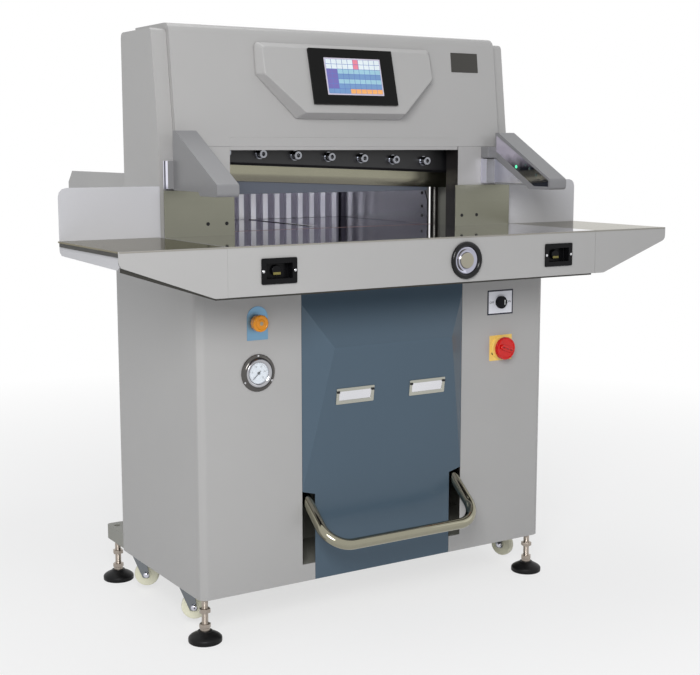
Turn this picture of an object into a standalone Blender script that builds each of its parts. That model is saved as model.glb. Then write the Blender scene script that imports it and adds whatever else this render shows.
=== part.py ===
"""Hydraulic paper cutter: a guillotine with side tables, built as separate pieces in metres, +Z up.

The front of the machine faces -Y. Sizes are given from the plane of the post faces (y = 0) and from
the floor (z = 0). One empty carries every piece, so that the origin lies under the middle of the machine.
"""
import math

import bmesh
import bpy
from mathutils import Matrix, Vector

# General
GAP = 0.0003
SHEET = 0.002
OVERRUN = 0.020
BITE = 0.001
ROUND_STEPS = 18
FINE_STEPS = 24
SMALL_STEPS = 12
CORNER_STEPS = 3
SHARP_ANGLE = math.radians(30)

# Overall
CUT_HALF = 0.300
HOUSING_HEIGHT = 0.4485
BODY_DEPTH = 0.196
SIDE_TABLE_WIDTH = 0.233
TABLE_HEIGHT = 0.880
TABLE_REACH = 0.331
REAR_REACH = 0.832

# Base and frame
BASE_UNDERSIDE = 0.1035
BASE_THICKNESS = 0.035
BASE_REAR = 0.385
BASE_CORNER = 0.090
BASE_TONGUE = 0.100
BASE_HOLE_RADIUS = 0.008
SIDE_FRAME_CLEARANCE = 0.075
SIDE_FRAME_THICKNESS = 0.065
SIDE_FRAME_FRONT = 0.090
SIDE_FRAME_SETBACK = 0.011
SIDE_FRAME_HEADROOM = 0.0385
LOWER_FRAME_FRONT = -0.100
LOWER_FRAME_SETBACK = 0.029
FRAME_FILLET = 0.030
TOP_BEAM_FRONT = 0.060
TOP_BEAM_HEIGHT = 0.100
TABLE_BEAM_FRONT = -0.090
TABLE_BEAM_REAR = 0.165
TABLE_BEAM_HEIGHT = 0.040
FRAME_WINDOW = 0.120

# Cabinets
CABINET_STEP = 0.005
CABINET_INNER = 0.221
CABINET_FRONT = -0.1636
CABINET_REAR = 0.279
CABINET_BOTTOM = 0.1005
CABINET_CORNER = 0.020
SLOT_DEPTH = 0.0332
SLOT_BOTTOM = 0.180

# Centre panel
PANEL_DROP = 0.080
PANEL_FOLD_DROP = 0.068
PANEL_KNEE_DROP = 0.164
PANEL_KNEE_REACH = 0.0424
PANEL_KNEE_INSET = 0.061
PANEL_CREASE = 0.300
PANEL_SKIRT = 0.309
HANDLE_CENTRE_X = 0.099
HANDLE_WIDTH = 0.100
HANDLE_HEIGHT = 0.037
HANDLE_DROP = 0.1125
HANDLE_FLANGE = 0.006
HANDLE_DEPTH = 0.014
HANDLE_PROUD = 0.0015

# Table bed
BED_THICKNESS = 0.030
BED_STEP = 0.005
THROAT_CLEARANCE = 0.012
BED_REAR_CLEARANCE = 0.001
STICK_WIDTH = 0.014
STICK_DEPTH = 0.010
STICK_OVERHANG = 0.008
APRON_HEIGHT = 0.101
WING_FLAT = 0.028
WING_TIP_HEIGHT = 0.023
WING_CORNER = 0.013
SIDE_TOP_THICKNESS = 0.0035
SIDE_RIB_DEPTH = 0.015
SIDE_RIB_WIDTH = 0.030
FENCE_HEIGHT = 0.110
FENCE_CORNER = 0.018
FENCE_FRONT = -0.0027
SKIRT_INSET = 0.004
SKIRT_DEPTH = 0.037
SKIRT_DROP = 0.0040
GUIDE_PLATE_CLEARANCE = 0.0065
GUIDE_PLATE_INSET = 0.003
GUIDE_PLATE_HEIGHT = 0.101
GUIDE_PLATE_THICKNESS = 0.003

# Rear table
WALL_THICKNESS = 0.003
WALL_CLEARANCE = 0.002
WALL_SETBACK = 0.012
WALL_HEIGHT = 0.105
WALL_CHAMFER = 0.022
REAR_COVER_CLEARANCE = 0.080
REAR_COVER_RISE = 0.130
REAR_COVER_DROP = 0.080
REAR_COVER_CHAMFER = 0.030

# Backgauge
GAUGE_FACE = 0.505
GAUGE_CLEARANCE = 0.0045
GAUGE_HEIGHT = 0.095
GAUGE_BODY = 0.040
FINGER_PITCH = 0.0365
FINGER_WIDTH = 0.0150
FINGER_DEPTH = 0.012
GAUGE_STEM_HALF = 0.011
GAUGE_STEM_LENGTH = 0.024
GAUGE_SLOT_HALF = 0.013
GAUGE_FORWARD = 0.345
GAUGE_END_CLEARANCE = 0.025
NUT_HALF = 0.028
NUT_HEIGHT = 0.036
SCREW_RADIUS = 0.009
SCREW_DROP = 0.020
BEARING_LENGTH = 0.018
BEARING_HALF = 0.026

# Knife, its slide and the clamp
KNIFE_TILT = math.radians(2.3)
KNIFE_REAR = 0.085
BLADE_THICKNESS = 0.010
BLADE_HEIGHT = 0.112
BLADE_BEVEL = 0.020
KNIFE_OPENING = 0.106
BLADE_OVERHANG_LEFT = 0.045
BLADE_OVERHANG_RIGHT = 0.055
BEAM_THICKNESS = 0.030
BEAM_OVERHANG = 0.040
BEAM_EYE = 0.016
BEAM_RISE = 0.0370
BEAM_HEIGHT = 0.135
BEAM_CHAMFER = 0.006
BOLT_COUNT = 7
BOLT_PITCH = 0.092
BOLT_MARGIN = 0.042
BOLT_RISE = 0.064
BOLT_HEAD_RADIUS = 0.0085
BOLT_HEAD_HEIGHT = 0.016
BOLT_SOCKET_RADIUS = 0.0045
PIN_CLEARANCE = 0.017
PIN_RISE = 0.114
PIN_RADIUS = 0.008
KNIFE_SLANT = math.radians(17)
KNIFE_STROKE = 0.094
SLIDE_BLOCK_HALF = 0.012
SLIDE_BLOCK_HEIGHT = 0.060
TONGUE_HALF = 0.007
TONGUE_DEPTH = 0.010
CLAMP_CLEARANCE = 0.0035
CLAMP_THICKNESS = 0.0615
CLAMP_SIDE_CLEARANCE = 0.0035
CLAMP_OPENING = 0.0855
CLAMP_HEIGHT = 0.1845
CLAMP_WING_REACH = 0.025
CLAMP_WING_HEIGHT = 0.060
CLAMP_STROKE = 0.085
CLAMP_RIB_DEPTH = 0.012
CLAMP_RIB_COUNT = 8
ROD_RADIUS = 0.010
ROD_REACH = 0.045
ROD_SETBACK = 0.0365
CROSSHEAD_DROP = 0.250
CROSSHEAD_HEIGHT = 0.040
CROSSHEAD_REACH = 0.017
CROSSHEAD_DEPTH = 0.044
PISTON_RADIUS = 0.020
PISTON_LENGTH = 0.130
CYLINDER_RADIUS = 0.036
CYLINDER_CLEARANCE = 0.025
KNIFE_CYLINDER_INSET = 0.105
KNIFE_CYLINDER_Y = -0.030
KNIFE_CYLINDER_LENGTH = 0.3494
KNIFE_ROD_LENGTH = 0.060
ROD_CLEARANCE = 0.0015

# Hydraulic unit
TANK_HALF = 0.170
TANK_FRONT = 0.010
TANK_SETBACK = 0.039
UNIT_HEADROOM = 0.0365
MOTOR_RADIUS = 0.050
MOTOR_SHARE = 0.30
MOTOR_X = -0.090
MOTOR_Y = 0.070
FIN_DEPTH = 0.005
FIN_COUNT = 3
CAP_RADIUS = 0.022
CAP_HEIGHT = 0.020
CAP_X = 0.100

# Upper covers
COVER_OVERHANG = 0.1433
END_COVER_WIDTH = 0.0354
COVER_FACE = -0.0143
OPENING_HEIGHT = 0.1955
COVER_RISE = 0.0122
COVER_LEAN = 0.0323
COVER_ROLL = 0.022
COVER_LIP = 0.0085
END_LEAN_RISE = 0.0045
END_LEAN = 0.030
END_ROLL = 0.012
POST_CLEARANCE = 0.015
JAMB_DEPTH = 0.035
REAR_PANEL_CLEARANCE = 0.005
LOUVRE_COUNT = 6
LOUVRE_LENGTH = 0.180
LOUVRE_WIDTH = 0.006
LOUVRE_PITCH = 0.016

# Console
BEZEL_HALF_TOP = 0.240
BEZEL_HALF_BOTTOM = 0.143
BEZEL_TOP = 0.2322
BEZEL_SHOULDER = 0.160
BEZEL_BOTTOM = 0.0625
BEZEL_DEPTH = 0.020
BEZEL_TAPER = 0.012
BEZEL_CORNER = 0.010
SCREEN_WIDTH = 0.227
SCREEN_HEIGHT = 0.131
SCREEN_CENTRE = 0.157
SCREEN_DEPTH = 0.008
SCREEN_CORNER = 0.008
DISPLAY_WIDTH = 0.150
DISPLAY_HEIGHT = 0.084
DISPLAY_SINK = 0.0015

# Light-curtain arms
ARM_INSET = 0.016
ARM_WIDTH = 0.0505
ARM_BACK = -0.030
ARM_NOSE = -0.240
ARM_HEIGHT = 0.1355
ARM_NOSE_HEIGHT = 0.0245
ARM_CLEARANCE = 0.0935
ARM_HEEL_STEP = 0.0085
ARM_TOP_FLAT = 0.012
ARM_STEP_Y = -0.160
ARM_ROUND = 0.008
LENS_DEPTH = 0.0015
LENS_BAND = 0.044
LENS_INSET = 0.007
ARM_FLANGE_REACH = 0.0265
ARM_FLANGE_HEIGHT = 0.027
ARM_FLANGE_DROP = 0.001
BRACKET_REACH = 0.007
BRACKET_RISE = 0.003
BRACKET_HEIGHT = 0.060

# Foot bar
FOOT_TUBE_RADIUS = 0.0125
FOOT_ARM_INSET = 0.0165
FOOT_PIVOT_Y = -0.060
FOOT_PIVOT_Z = 0.361
FOOT_BAR_Y = -0.262
FOOT_BAR_Z = 0.203
FOOT_BEND = 0.058
FOOT_SHAFT_RADIUS = 0.010
FOOT_SHAFT_REACH = 0.018
FOOT_SIDES = 12
FOOT_BEARING_SETBACK = 0.013
FOOT_BEARING_THICKNESS = 0.014
FOOT_BEARING_WIDTH = 0.050
FOOT_BEARING_RISE = 0.024

# Controls on the apron
BOX_INSET = 0.115
BOX_DROP = 0.0525
BOX_WIDTH = 0.082
BOX_HEIGHT = 0.053
BOX_FLANGE = 0.003
BOX_MARGIN = 0.009
BOX_DEPTH = 0.026
BOX_WELL = 0.016
BOX_CORNER = 0.003
BUTTON_RADIUS = 0.011
BUTTON_PROUD = 0.007
BUTTON_TRAVEL = 0.004
WHEEL_X = 0.102
WHEEL_DROP = 0.053
WHEEL_RADIUS = 0.0415
WHEEL_DEPTH = 0.028
WHEEL_LIP = 0.008
HUB_RADIUS = 0.0215
HUB_DEPTH = 0.018

# Controls on the cabinets
KNOB_INSET = 0.1435
KNOB_DROP = 0.180
KNOB_RADIUS = 0.019
KNOB_DEPTH = 0.026
KNOB_FACETS = 12
KNOB_NOTCH = 0.0020
DIAL_DROP = 0.2895
DIAL_FLANGE_RADIUS = 0.041
DIAL_FLANGE = 0.003
DIAL_RADIUS = 0.026
DIAL_RIM = 0.0035
DIAL_PROUD = 0.009
DIAL_WELL = 0.006
DIAL_BODY = 0.035
NEEDLE_LENGTH = 0.019
NEEDLE_TAIL = 0.006
NEEDLE_HALF = 0.0011
NEEDLE_THICKNESS = 0.0010
NEEDLE_BOSS = 0.003
SELECTOR_INSET = 0.139
SELECTOR_DROP = 0.1775
SELECTOR_RADIUS = 0.0148
SELECTOR_DEPTH = 0.012
GRIP_HALF = 0.004
GRIP_DEPTH = 0.008
SWITCH_INSET = 0.1355
SWITCH_DROP = 0.289
SWITCH_RADIUS = 0.0275
SWITCH_DEPTH = 0.012
SWITCH_GRIP_HALF = 0.0085
SWITCH_GRIP_DEPTH = 0.016

# Levelling feet
FOOT_INSET = 0.020
FOOT_FRONT_INSET = 0.0256
FOOT_REAR_INSET = 0.028
PAD_RADIUS = 0.0375
PAD_RIM = 0.009
PAD_HEIGHT = 0.026
NECK_RADIUS = 0.0115
NECK_HEIGHT = 0.034
STUD_RADIUS = 0.0075
STUD_SINK = 0.010
FOOT_NUT_RADIUS = 0.0135
FOOT_NUT_HEIGHT = 0.010
LOW_NUT_Z = 0.0365
HIGH_NUT_DROP = 0.0325

# Casters
CASTER_INSET = 0.007
CASTER_FRONT_Y = -0.024
CASTER_REAR_Y = 0.243
CASTER_WHEEL_RADIUS = 0.030
CASTER_WHEEL_WIDTH = 0.021
CASTER_DROP = 0.0575
CASTER_TRAIL = 0.020
CASTER_PLATE_HALF = 0.0235
CASTER_PLATE_THICKNESS = 0.003
CASTER_CROWN_RADIUS = 0.018
FORK_THICKNESS = 0.0025
FORK_HALF_WIDTH = 0.014
AXLE_RADIUS = 0.005
AXLE_HEAD_RADIUS = 0.0085
AXLE_HEAD_HEIGHT = 0.005

# Derived sizes
COVER_HALF = CUT_HALF + COVER_OVERHANG
BODY_HALF = COVER_HALF + GAP + END_COVER_WIDTH
TABLE_HALF = BODY_HALF + SIDE_TABLE_WIDTH
CABINET_HALF = BODY_HALF - CABINET_STEP
SIDE_FRAME_INNER = CUT_HALF + SIDE_FRAME_CLEARANCE
SIDE_FRAME_OUTER = SIDE_FRAME_INNER + SIDE_FRAME_THICKNESS
BODY_HEIGHT = TABLE_HEIGHT + HOUSING_HEIGHT
SIDE_FRAME_REAR = BODY_DEPTH - SIDE_FRAME_SETBACK
SIDE_FRAME_TOP = BODY_HEIGHT - SIDE_FRAME_HEADROOM
LOWER_FRAME_REAR = CABINET_REAR - LOWER_FRAME_SETBACK
BASE_TOP = BASE_UNDERSIDE + BASE_THICKNESS
BED_BOTTOM = TABLE_HEIGHT - BED_THICKNESS
CABINET_TOP = BED_BOTTOM - SHEET / 2
END_BOTTOM = BED_BOTTOM
SLOT_INNER = CABINET_INNER - SLOT_DEPTH
PANEL_TOP = TABLE_HEIGHT - PANEL_DROP
PANEL_FOLD = PANEL_TOP - PANEL_FOLD_DROP
PANEL_KNEE_Z = PANEL_TOP - PANEL_KNEE_DROP
PANEL_KNEE_Y = CABINET_FRONT - PANEL_KNEE_REACH
PANEL_KNEE_X = CABINET_INNER - PANEL_KNEE_INSET
HANDLE_CENTRE_Z = PANEL_KNEE_Z - HANDLE_DROP
BED_HALF = BODY_HALF + BED_STEP
BED_THROAT = CUT_HALF + THROAT_CLEARANCE
REAR_COVER_HALF = CUT_HALF + REAR_COVER_CLEARANCE
BED_REAR_HALF = REAR_COVER_HALF - SHEET - GAP
BED_REAR_START = BODY_DEPTH + BED_REAR_CLEARANCE
STICK_Y = KNIFE_REAR
STICK_HALF = CUT_HALF + STICK_OVERHANG
APRON_BOTTOM = TABLE_HEIGHT - APRON_HEIGHT
APRON_FACE = -TABLE_REACH
BED_FRONT = APRON_FACE + SHEET + GAP
POST_PLANE = COVER_FACE - GAP
WING_FLAT_HALF = BED_HALF + WING_FLAT
FENCE_TOP = TABLE_HEIGHT + FENCE_HEIGHT
SKIRT_OUTER = TABLE_HALF - SKIRT_INSET
SKIRT_BOTTOM = TABLE_HEIGHT - SKIRT_DEPTH
GUIDE_PLATE_INNER = CUT_HALF + GUIDE_PLATE_CLEARANCE
GUIDE_PLATE_OUTER = BODY_HALF - GUIDE_PLATE_INSET
GUIDE_PLATE_TOP = TABLE_HEIGHT + GUIDE_PLATE_HEIGHT
WALL_FRONT = STICK_Y + STICK_WIDTH / 2 + WALL_CLEARANCE
WALL_REAR = REAR_REACH - WALL_SETBACK
WALL_TOP = TABLE_HEIGHT + WALL_HEIGHT
REAR_COVER_TOP = TABLE_HEIGHT + REAR_COVER_RISE
REAR_COVER_BOTTOM = TABLE_HEIGHT - REAR_COVER_DROP
GAUGE_HALF = CUT_HALF - GAUGE_CLEARANCE
GAUGE_TOP = TABLE_HEIGHT + GAUGE_HEIGHT
FINGER_COUNT = int(2 * GAUGE_HALF / FINGER_PITCH)
SCREW_Z = BED_BOTTOM - SCREW_DROP
SLOT_START = GAUGE_FACE - GAUGE_FORWARD
SLOT_END = REAR_REACH - GAUGE_END_CLEARANCE
TABLE_BEAM_BOTTOM = BED_BOTTOM - GAP - TABLE_BEAM_HEIGHT
BLADE_EDGE_Z = TABLE_HEIGHT + KNIFE_OPENING
BLADE_LEFT = -CUT_HALF - BLADE_OVERHANG_LEFT
BLADE_RIGHT = CUT_HALF + BLADE_OVERHANG_RIGHT
PIN_X = SIDE_FRAME_INNER + PIN_CLEARANCE
PIN_Z = BLADE_EDGE_Z + PIN_RISE
BEAM_LEFT = BLADE_LEFT - BEAM_OVERHANG
BEAM_RIGHT = PIN_X + BEAM_EYE
BOLT_FIRST = BLADE_LEFT + BOLT_MARGIN
BEAM_REAR = KNIFE_REAR - BLADE_THICKNESS - GAP
BEAM_FRONT = BEAM_REAR - BEAM_THICKNESS
CLAMP_FRONT = KNIFE_REAR + CLAMP_CLEARANCE
CLAMP_REAR = CLAMP_FRONT + CLAMP_THICKNESS
CLAMP_HALF = CUT_HALF - CLAMP_SIDE_CLEARANCE
CLAMP_BOTTOM = TABLE_HEIGHT + CLAMP_OPENING
CLAMP_TOP = CLAMP_BOTTOM + CLAMP_HEIGHT
CLAMP_WING_BOTTOM = CLAMP_TOP - CLAMP_WING_HEIGHT
ROD_X = CUT_HALF + ROD_REACH
ROD_Y = CLAMP_FRONT + ROD_SETBACK
CLAMP_WING_HALF = ROD_X + CLAMP_WING_REACH
CROSSHEAD_TOP = BED_BOTTOM - CROSSHEAD_DROP
CROSSHEAD_HALF = ROD_X + CROSSHEAD_REACH
CYLINDER_BOTTOM = CROSSHEAD_TOP + CYLINDER_CLEARANCE
KNIFE_CYLINDER_X = SIDE_FRAME_INNER - KNIFE_CYLINDER_INSET
KNIFE_CYLINDER_BOTTOM = TABLE_BEAM_BOTTOM - GAP - KNIFE_CYLINDER_LENGTH
TANK_REAR = CABINET_REAR - TANK_SETBACK
UNIT_HEIGHT = CROSSHEAD_TOP - CROSSHEAD_HEIGHT - CLAMP_STROKE - UNIT_HEADROOM - BASE_TOP
MOTOR_HEIGHT = UNIT_HEIGHT * MOTOR_SHARE
TANK_HEIGHT = UNIT_HEIGHT - MOTOR_HEIGHT
COVER_BOTTOM = TABLE_HEIGHT + OPENING_HEIGHT
COVER_TOP = BODY_HEIGHT + COVER_RISE
END_LEAN_START = COVER_BOTTOM + END_LEAN_RISE
POST_INNER = CUT_HALF + POST_CLEARANCE
REAR_PANEL_BOTTOM = REAR_COVER_TOP + REAR_PANEL_CLEARANCE
ARM_OUTER = BODY_HALF - ARM_INSET
ARM_INNER = ARM_OUTER - ARM_WIDTH
ARM_NOSE_BOTTOM = TABLE_HEIGHT + ARM_CLEARANCE
ARM_NOSE_TOP = ARM_NOSE_BOTTOM + ARM_NOSE_HEIGHT
ARM_TOP = ARM_NOSE_BOTTOM + ARM_HEIGHT
ARM_HEEL = ARM_NOSE_BOTTOM + ARM_HEEL_STEP
ARM_FLANGE_INNER = ARM_INNER - ARM_FLANGE_REACH
ARM_FLANGE_TOP = COVER_BOTTOM - ARM_FLANGE_DROP
ARM_FLANGE_BOTTOM = ARM_FLANGE_TOP - ARM_FLANGE_HEIGHT
BRACKET_OUTER = ARM_OUTER + BRACKET_REACH
BRACKET_BOTTOM = ARM_HEEL + BRACKET_RISE
BRACKET_TOP = BRACKET_BOTTOM + BRACKET_HEIGHT
FOOT_ARM_X = CABINET_INNER - FOOT_ARM_INSET
FOOT_BEARING_X = CABINET_INNER + FOOT_BEARING_SETBACK
FOOT_SHAFT_HALF = FOOT_BEARING_X + FOOT_SHAFT_REACH
BOX_X = BED_HALF - BOX_INSET
BOX_Z = TABLE_HEIGHT - BOX_DROP
WHEEL_Z = TABLE_HEIGHT - WHEEL_DROP
KNOB_X = KNOB_INSET - CABINET_HALF
KNOB_Z = TABLE_HEIGHT - KNOB_DROP
DIAL_X = KNOB_X
DIAL_Z = TABLE_HEIGHT - DIAL_DROP
SELECTOR_X = CABINET_HALF - SELECTOR_INSET
SELECTOR_Z = TABLE_HEIGHT - SELECTOR_DROP
SWITCH_X = CABINET_HALF - SWITCH_INSET
SWITCH_Z = TABLE_HEIGHT - SWITCH_DROP
FOOT_X = CABINET_HALF - FOOT_INSET
FOOT_FRONT_Y = CABINET_FRONT + FOOT_FRONT_INSET
FOOT_REAR_Y = BASE_REAR - FOOT_REAR_INSET
STUD_TOP = BASE_TOP - STUD_SINK
HIGH_NUT_Z = BASE_UNDERSIDE - HIGH_NUT_DROP
CASTER_X = FOOT_X - CASTER_INSET
CASTER_WHEEL_Z = BASE_UNDERSIDE - CASTER_DROP
WHEEL_NOSE = APRON_FACE - GAP - WHEEL_DEPTH
LEAN_ANGLE = math.atan2(COVER_LEAN, COVER_TOP - COVER_BOTTOM)
MACHINE_SHIFT = -(WHEEL_NOSE + REAR_REACH) / 2
SIDES = (("left", -1), ("right", 1))


def clear_scene():
    """Takes away whatever the scene holds."""
    for obj in list(bpy.data.objects):
        bpy.data.objects.remove(obj, do_unlink=True)


def make_material(name, colour, roughness, metallic=0.0):
    material = bpy.data.materials.new(name)
    material.use_nodes = True
    shader = material.node_tree.nodes["Principled BSDF"]
    shader.inputs["Base Color"].default_value = (*colour, 1.0)
    shader.inputs["Roughness"].default_value = roughness
    shader.inputs["Metallic"].default_value = metallic
    return material


def make_object(name, bm, material, origin=(0, 0, 0)):
    """Makes an object of the mesh, whose points are machine coordinates, with its origin at a point."""
    bmesh.ops.recalc_face_normals(bm, faces=bm.faces)
    bmesh.ops.translate(bm, verts=bm.verts, vec=-Vector(origin))
    mesh = bpy.data.meshes.new(name)
    bm.to_mesh(mesh)
    bm.free()
    mesh.shade_smooth()
    mesh.set_sharp_from_angle(angle=SHARP_ANGLE)
    obj = bpy.data.objects.new(name, mesh)
    bpy.context.scene.collection.objects.link(obj)
    obj.location = origin
    obj.parent = machine
    if material:
        mesh.materials.append(material)
    return obj


def combine(obj, bm, operation):
    """Cuts the mesh from the object, or joins it on, with a hidden helper."""
    helper = make_object(f"{obj.name}.{operation.lower()}", bm, None, obj.location)
    helper.hide_render = True
    helper.display_type = "WIRE"
    modifier = obj.modifiers.new(operation.title(), "BOOLEAN")
    modifier.operation = operation
    modifier.solver = "EXACT"
    modifier.object = helper
    return helper


def cut(obj, bm):
    return combine(obj, bm, "DIFFERENCE")


def join(obj, bm):
    return combine(obj, bm, "UNION")


def place(axis, a, b, along):
    """A point from two outline coordinates and the height along an axis."""
    if axis == "X":
        return Vector((along, a, b))
    if axis == "Y":
        return Vector((a, along, b))
    return Vector((a, b, along))


def prism(bm, outline, axis, start, end):
    """Extrudes a closed outline along an axis, as a closed solid."""
    low = [bm.verts.new(place(axis, a, b, start)) for a, b in outline]
    high = [bm.verts.new(place(axis, a, b, end)) for a, b in outline]
    bm.faces.new(low)
    bm.faces.new(reversed(high))
    count = len(outline)
    for i in range(count):
        following = (i + 1) % count
        bm.faces.new((low[i], high[i], high[following], low[following]))
    return bm


def rectangle(a0, a1, b0, b1):
    return [(a0, b0), (a1, b0), (a1, b1), (a0, b1)]


def box(bm, x0, x1, y0, y1, z0, z1):
    return prism(bm, rectangle(x0, x1, y0, y1), "Z", z0, z1)


def circle(centre_a, centre_b, radius, steps=ROUND_STEPS):
    turn = 2 * math.pi / steps
    return [
        (centre_a + radius * math.cos(i * turn), centre_b + radius * math.sin(i * turn))
        for i in range(steps)
    ]


def rounded(corners, steps=CORNER_STEPS):
    """An outline whose corners (a, b, radius) are rounded with arcs where the radius isn't zero."""
    outline = []
    count = len(corners)
    for i, (a, b, radius) in enumerate(corners):
        corner = Vector((a, b))
        if not radius:
            outline.append((a, b))
            continue
        before = (Vector(corners[i - 1][:2]) - corner).normalized()
        after = (Vector(corners[(i + 1) % count][:2]) - corner).normalized()
        half = before.angle(after) / 2
        centre = corner + (before + after).normalized() * radius / math.sin(half)
        first = corner + before * radius / math.tan(half) - centre
        last = corner + after * radius / math.tan(half) - centre
        sweep = first.angle_signed(last)
        for step in range(steps + 1):
            spoke = first.copy()
            spoke.rotate(Matrix.Rotation(-sweep * step / steps, 2))
            outline.append(tuple(centre + spoke))
    return outline


def rounded_rectangle(a0, a1, b0, b1, radius, steps=CORNER_STEPS):
    return rounded([(a0, b0, radius), (a1, b0, radius), (a1, b1, radius), (a0, b1, radius)], steps)


def mirrored(outline, side):
    """The outline with its first coordinate turned to the left for side -1."""
    return [(side * a, b) for a, b in outline]


def lathe(bm, profile, axis, centre, steps=ROUND_STEPS):
    """Turns a profile of (radius, height) points about an axis through the centre. Ends close on it."""
    centre = Vector(centre)
    rings = []
    for radius, height in profile:
        if radius == 0:
            rings.append([bm.verts.new(centre + place(axis, 0, 0, height))])
            continue
        ring = [bm.verts.new(centre + place(axis, a, b, height)) for a, b in circle(0, 0, radius, steps)]
        rings.append(ring)
    for lower, upper in zip(rings, rings[1:]):
        for i in range(steps):
            following = (i + 1) % steps
            corners = [lower[i % len(lower)], lower[following % len(lower)]]
            corners += [upper[following % len(upper)], upper[i % len(upper)]]
            unique = list(dict.fromkeys(corners))
            if len(unique) > 2:
                bm.faces.new(unique)
    return bm


def hexagon(centre_a, centre_b, radius):
    return circle(centre_a, centre_b, radius, 6)


def sweep_tube(bm, path, radius, sides, reference):
    """A round bar along a path in one plane, whose normal is the reference."""
    rings = []
    for i, point in enumerate(path):
        before = path[max(i - 1, 0)]
        after = path[min(i + 1, len(path) - 1)]
        tangent = (after - before).normalized()
        across = tangent.cross(reference).normalized()
        ring = []
        for step in range(sides):
            angle = 2 * math.pi * step / sides
            spoke = across * math.cos(angle) + reference * math.sin(angle)
            ring.append(bm.verts.new(point + spoke * radius))
        rings.append(ring)
    bm.faces.new(rings[0])
    bm.faces.new(reversed(rings[-1]))
    for lower, upper in zip(rings, rings[1:]):
        for i in range(sides):
            following = (i + 1) % sides
            bm.faces.new((lower[i], lower[following], upper[following], upper[i]))
    return bm


def new():
    return bmesh.new()


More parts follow.
